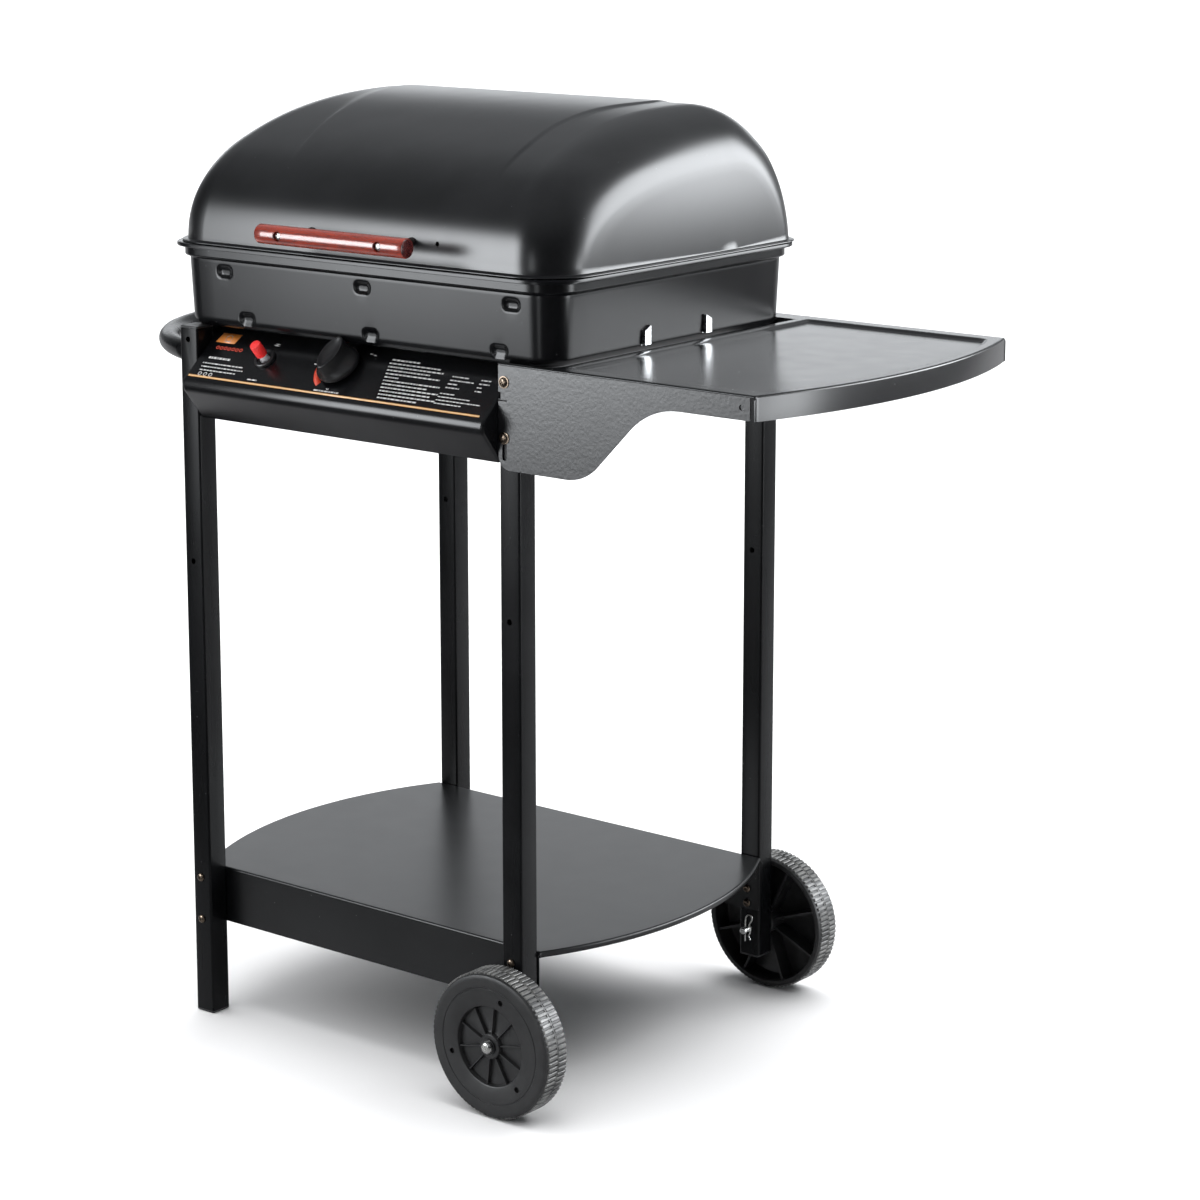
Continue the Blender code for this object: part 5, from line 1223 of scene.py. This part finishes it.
# ---- wheels -------------------------------------------------------------------------------------
def wheel(end):
    sy = ENDS[end]
    inner = sy * (LEG_Y + TUBE / 2 + WHEEL_GAP)
    centre = Vector((LEG_X, inner, WHEEL_R))
    axis = Y_AXIS * sy
    bore = AXLE_R + 0.0004
    tread = WHEEL_R - 0.0016
    profile = [(bore, -0.0020), (0.0118, -0.0020), (0.0128, -0.0012), (0.0130, 0.0210), (0.0615, 0.0232),
               (0.0650, 0.0215), (0.0662, 0.0190), (0.0668, 0.0012), (0.0678, 0.0002), (0.0700, 0.0000),
               (0.0722, 0.0006), (0.0731, 0.0022), (tread, 0.0034), (tread, WHEEL_W - 0.0036),
               (0.0731, WHEEL_W - 0.0022), (0.0722, WHEEL_W - 0.0008), (0.0702, WHEEL_W - 0.0001),
               (0.0680, WHEEL_W), (0.0604, WHEEL_W - 0.0001), (0.0599, WHEEL_W - 0.0007),
               (0.0591, WHEEL_W - 0.0007), (0.0586, WHEEL_W - 0.0002), (0.0425, WHEEL_W - 0.0003),
               (0.0412, WHEEL_W - 0.0009), (0.0404, WHEEL_W - 0.0030), (0.0396, WHEEL_W - 0.0058),
               (0.0160, WHEEL_W - 0.0062), (0.0135, WHEEL_W - 0.0054), (0.0125, WHEEL_W - 0.0012),
               (0.0117, WHEEL_W - 0.0005), (bore, WHEEL_W - 0.0005)]
    disc = bmesh.new()
    turned(disc, profile, centre, axis, 120)
    holes = bmesh.new()
    for angle in (73, 198, 314):
        a = math.radians(angle)
        at = centre + Vector((0.0505 * math.cos(a), 0, 0.0505 * math.sin(a)))
        rod(holes, at + axis * (WHEEL_W - 0.0035), at + axis * (WHEEL_W + 0.004), 0.0030, 20)
    disc = carve(disc, holes)
    ribs = bmesh.new()

    def rib(mesh, angle, near, far, low, high, thick, taper=1.0):
        a = math.radians(angle)
        out, side = Vector((math.cos(a), 0, math.sin(a))), Vector((-math.sin(a), 0, math.cos(a)))
        base = centre + axis * low
        rings = []
        for r in (near, far):
            rings.append([base + out * r + side * s * thick / 2 * w + axis * h
                          for s, w, h in ((-1, 1, 0), (1, 1, 0), (1, taper, high - low),
                                          (-1, taper, high - low))])
        loft(mesh, rings)

    for k in range(10):
        rib(ribs, 36 * k + 12, 0.0120, 0.0400, WHEEL_W - 0.0070, WHEEL_W - 0.0022, 0.0021, 0.55)
    for k in range(8):
        rib(ribs, 45 * k + 20, 0.0120, 0.0672, 0.0030, 0.0228, 0.0026, 0.9)
    data = bpy.data.meshes.new("ribs")
    ribs.to_mesh(data)
    ribs.free()
    disc.from_mesh(data)
    bpy.data.meshes.remove(data)
    piece(f"moulded_wheel_{end}", disc, WHEEL_PLASTIC, f"wheel_{end}", [f"wheel_{end}"],
          sharp=32)

    blocks = bmesh.new()
    number = 84
    pitch = 2 * math.pi / number
    rows = ((0.0030, 0.0155, 0.0), (0.0175, WHEEL_W - 0.0030, 0.5))
    for low, high, offset in rows:
        for k in range(number):
            a = (k + offset) * pitch
            out, side = Vector((math.cos(a), 0, math.sin(a))), Vector((-math.sin(a), 0, math.cos(a)))
            half = 0.0017
            rings = []
            for r, w, trim in ((tread - 0.0012, 1.15, 0.0), (tread + 0.0011, 1.0, 0.0),
                               (WHEEL_R - 0.0001, 0.72, 0.0006)):
                rings.append([centre + out * r + side * s * half * w + axis * h
                              for s, h in ((-1, low + trim), (1, low + trim), (1, high - trim),
                                           (-1, high - trim))])
            loft(blocks, rings)
    turned(blocks, [(tread - 0.001, 0.0158), (tread + 0.0010, 0.0160), (tread + 0.0010, 0.0170),
                    (tread - 0.001, 0.0172)],
           centre, axis, 120)
    piece(f"tread_blocks_{end}", blocks, TREAD_PLASTIC, f"wheel_{end}", sharp=30)

    outer = inner + sy * WHEEL_W
    face = Vector((LEG_X, outer, WHEEL_R))
    washer = bmesh.new()
    turned(washer, [(AXLE_R + 0.0002, GAP), (0.0078, GAP), (0.0080, 0.0006), (0.0078, WASHER),
                    (AXLE_R + 0.0002, WASHER)],
           face, axis, 40)
    piece(f"flat_washer_{end}", washer, PLASTIC, "cart", [f"axle_washer_{end}"], sharp=30)
    axle = bmesh.new()
    head = WASHER + GAP
    tail = -(WHEEL_W + WHEEL_GAP + TUBE + 0.0130)
    levels = [(0.0030, tail), (0.0036, tail + 0.0006), (AXLE_R - 0.0001, tail + 0.0012),
              (AXLE_R - 0.0001, head),
              (0.0062, head), (0.0065, head + 0.0003), (0.0065, head + 0.0012)]
    levels += [(0.0065 * math.cos(a) ** 0.6, head + 0.0012 + (AXLE_HEAD - GAP - 0.0012) * math.sin(a))
               for a in (math.radians(9 * k) for k in range(1, 10))]
    spindle(axle, levels, face, axis, 40)
    piece(f"domed_axle_{end}", axle, ZINC, "cart", [f"axle_bolt_{end}"], sharp=40)
    clip_y = outer + sy * (tail + 0.0060)
    points = [(-0.0002, -0.0125), (0.0, -0.004), (0.0, 0.004), (0.0001, 0.0100), (0.0010, 0.0150),
              (0.0042, 0.0182),
              (0.0078, 0.0172), (0.0088, 0.0140), (0.0072, 0.0105), (0.0050, 0.0062), (0.0052, 0.0030),
              (0.0063, 0.0), (0.0058, -0.0034), (0.0046, -0.0058), (0.0066, -0.0100)]
    path = smooth_path([(LEG_X + u, clip_y, WHEEL_R + v) for u, v in points], 5)
    clip = bmesh.new()
    pipe(clip, path, 0.0008, 0, 10)
    piece(f"wire_clip_{end}", clip, ZINC, "cart", [f"axle_clip_{end}"], sharp=60)


# ---- carried-over CAD nodes ---------------------------------------------------------------------
def dress_cad():
    paints = {"burner": IRON, "venturi_tube": ZINC, "gas_valve": BRASS, "gas_inlet_fitting": BRASS,
              "valve_stem": ZINC, "igniter_body": PLASTIC, "spark_electrode": CERAMIC}
    for side in SIDES:
        paints[f"hinge_lid_leaf_{side}"] = PAINT
        paints[f"hinge_box_leaf_{side}"] = PAINT
        paints[f"hinge_pin_{side}"] = ZINC
    for name, paint in paints.items():
        data = NODES[name].data
        data.materials.clear()
        data.materials.append(paint)


# ---- studio -------------------------------------------------------------------------------------
def place_on_stage(name, mesh, paint):
    data = bpy.data.meshes.new(name)
    mesh.to_mesh(data)
    mesh.free()
    data.materials.append(paint)
    made = bpy.data.objects.new(name, data)
    bpy.context.collection.objects.link(made)
    return made


def floor():
    mesh = bmesh.new()
    bmesh.ops.create_grid(mesh, x_segments=1, y_segments=1, size=45)
    s = Surface("pale_floor_painted_dark_in_reflections", FLOOR_WHITE, 0.6)
    s.set("Specular IOR Level", 0.15)
    # Painted reflection shade: glossy rays see the floor painted near-black in front of the grill, grey
    # behind it and darker grey far to the right. Camera and diffuse rays see it plain white.
    split = s._node("ShaderNodeSeparateXYZ", {0: s.place})
    front = s.span(split.outputs[1], -0.15, -0.75)
    aside = s.span(split.outputs[0], 0.95, 1.40)
    painted_reflection_behind = s.mix(aside, (0.42, 0.42, 0.43), (0.12, 0.12, 0.125))
    painted_reflection = s.mix(front, painted_reflection_behind, (0.02, 0.02, 0.022))
    glossy = s.tree.nodes.new("ShaderNodeLightPath").outputs["Is Glossy Ray"]
    s.set("Base Color", s.mix(glossy, FLOOR_WHITE, painted_reflection))
    place_on_stage("studio_floor", mesh, s.material).location = (0, 0, -0.0004)


def soft_card(name, azimuth, distance, half_width, low, high, strength, soft_side, soft_low, soft_high):
    """Light card seen only in reflections: azimuth from -Y towards +X, soft edges as shares."""
    mesh = bmesh.new()
    bmesh.ops.create_grid(mesh, x_segments=1, y_segments=1, size=1)
    s = Surface(name, (0, 0, 0), 1.0)
    s.set("Specular IOR Level", 0.0)
    split = s._node("ShaderNodeSeparateXYZ", {0: s.place})
    side = s.span(s.maths("ABSOLUTE", split.outputs[0]), 1 - soft_side, 1.0, 1, 0)
    rise = s.maths("MULTIPLY", s.span(split.outputs[1], -1.0, -1 + 2 * soft_low),
                   s.span(split.outputs[1], 1 - 2 * soft_high, 1.0, 1, 0))
    s.set("Emission Color", (0.94, 0.97, 1.0, 1))
    s.set("Emission Strength", s.maths("MULTIPLY", s.maths("MULTIPLY", side, rise), strength))
    made = place_on_stage(name, mesh, s.material)
    turn = math.radians(azimuth)
    made.location = (distance * math.sin(turn), -distance * math.cos(turn), (low + high) / 2)
    made.rotation_euler = (math.radians(90), 0, turn)
    made.scale = (half_width, (high - low) / 2, 1)
    made.visible_camera = made.visible_diffuse = made.visible_shadow = False


def sky():
    world = bpy.data.worlds.new("studio")
    bpy.context.scene.world = world
    world.use_nodes = True
    tree = world.node_tree
    tree.nodes.clear()

    def ramp(value, low, high, to_low, to_high):
        made = tree.nodes.new("ShaderNodeMapRange")
        made.interpolation_type = "SMOOTHSTEP"
        tree.links.new(value, made.inputs["Value"])
        for key, number in (("From Min", low), ("From Max", high), ("To Min", to_low),
                            ("To Max", to_high)):
            made.inputs[key].default_value = number
        return made.outputs[0]

    def add(first, second):
        made = tree.nodes.new("ShaderNodeMath")
        made.operation = "ADD"
        for index, value in enumerate((first, second)):
            if isinstance(value, bpy.types.NodeSocket):
                tree.links.new(value, made.inputs[index])
            else:
                made.inputs[index].default_value = value
        return made.outputs[0]

    split = tree.nodes.new("ShaderNodeSeparateXYZ")
    tree.links.new(tree.nodes.new("ShaderNodeTexCoord").outputs["Generated"], split.inputs[0])
    back = ramp(split.outputs[1], -0.10, 0.55, 0.0, 0.30)
    overhead = ramp(split.outputs[2], 0.30, 0.80, 0.0, 0.30)
    strength = add(add(back, overhead), 0.03)
    shown, lit = (tree.nodes.new("ShaderNodeBackground") for _ in range(2))
    shown.inputs[0].default_value = (1.0, 1.0, 1.0, 1)
    lit.inputs[0].default_value = (0.93, 0.965, 1.0, 1)
    tree.links.new(strength, lit.inputs[1])
    both = tree.nodes.new("ShaderNodeMixShader")
    tree.links.new(tree.nodes.new("ShaderNodeLightPath").outputs["Is Camera Ray"], both.inputs[0])
    tree.links.new(lit.outputs[0], both.inputs[1])
    tree.links.new(shown.outputs[0], both.inputs[2])
    tree.links.new(both.outputs[0], tree.nodes.new("ShaderNodeOutputWorld").inputs[0])


def suns():
    for name, energy, lean, turn, spread in (("key_sun", 3.4, 20, 150, 70),
                                             ("fill_sun", 2.2, 32, -40, 90)):
        light = bpy.data.lights.new(name, "SUN")
        light.energy = energy
        light.angle = math.radians(spread)
        made = bpy.data.objects.new(name, light)
        made.rotation_euler = (math.radians(lean), 0, math.radians(turn))
        made.visible_glossy = False
        bpy.context.collection.objects.link(made)


def studio():
    floor()
    soft_card("key_card", -32, 2.1, 0.54, 0.14, 1.75, 15.0, 0.30, 0.32, 0.20)
    soft_card("fill_card", 8, 2.2, 0.20, 0.15, 1.40, 4.5, 0.60, 0.15, 0.30)
    soft_card("right_card", 103, 2.2, 0.32, 0.0, 0.95, 13.0, 0.50, 0.20, 0.30)
    soft_card("right_back_card", 137, 4.3, 2.1, 0.45, 3.8, 14.0, 0.30, 0.16, 0.30)
    soft_card("left_back_card", -142, 4.5, 2.6, 1.05, 2.0, 2.3, 0.25, 0.20, 0.20)
    sky()
    suns()


def camera():
    data = bpy.data.cameras.new("camera")
    data.sensor_width = SENSOR
    data.lens = FOCAL_PER_FRAME * SENSOR
    data.shift_y = CAMERA_SHIFT
    data.clip_start, data.clip_end = 0.05, 200
    made = bpy.data.objects.new("camera", data)
    made.location = CART + CAMERA_PLACE
    made.rotation_euler = (math.radians(90 - CAMERA_DOWN), 0, math.radians(CAMERA_TURN))
    bpy.context.collection.objects.link(made)
    bpy.context.scene.camera = made


# ---- everything ---------------------------------------------------------------------------------
for end_name in ENDS:
    for side_name in SIDES:
        leg(end_name, side_name)
    wheel(end_name)
for side_name in SIDES:
    side_rail(side_name)
    grate_support(side_name)
bottom_tray()
side_shelf()
push_handle()
control_panel()
panel_print()
control_knob()
igniter()
firebox()
wire_grids()
lava_rocks()
lid()
lid_handle()
dress_cad()
studio()
camera()
bpy.context.scene.view_settings.view_transform = "Standard"
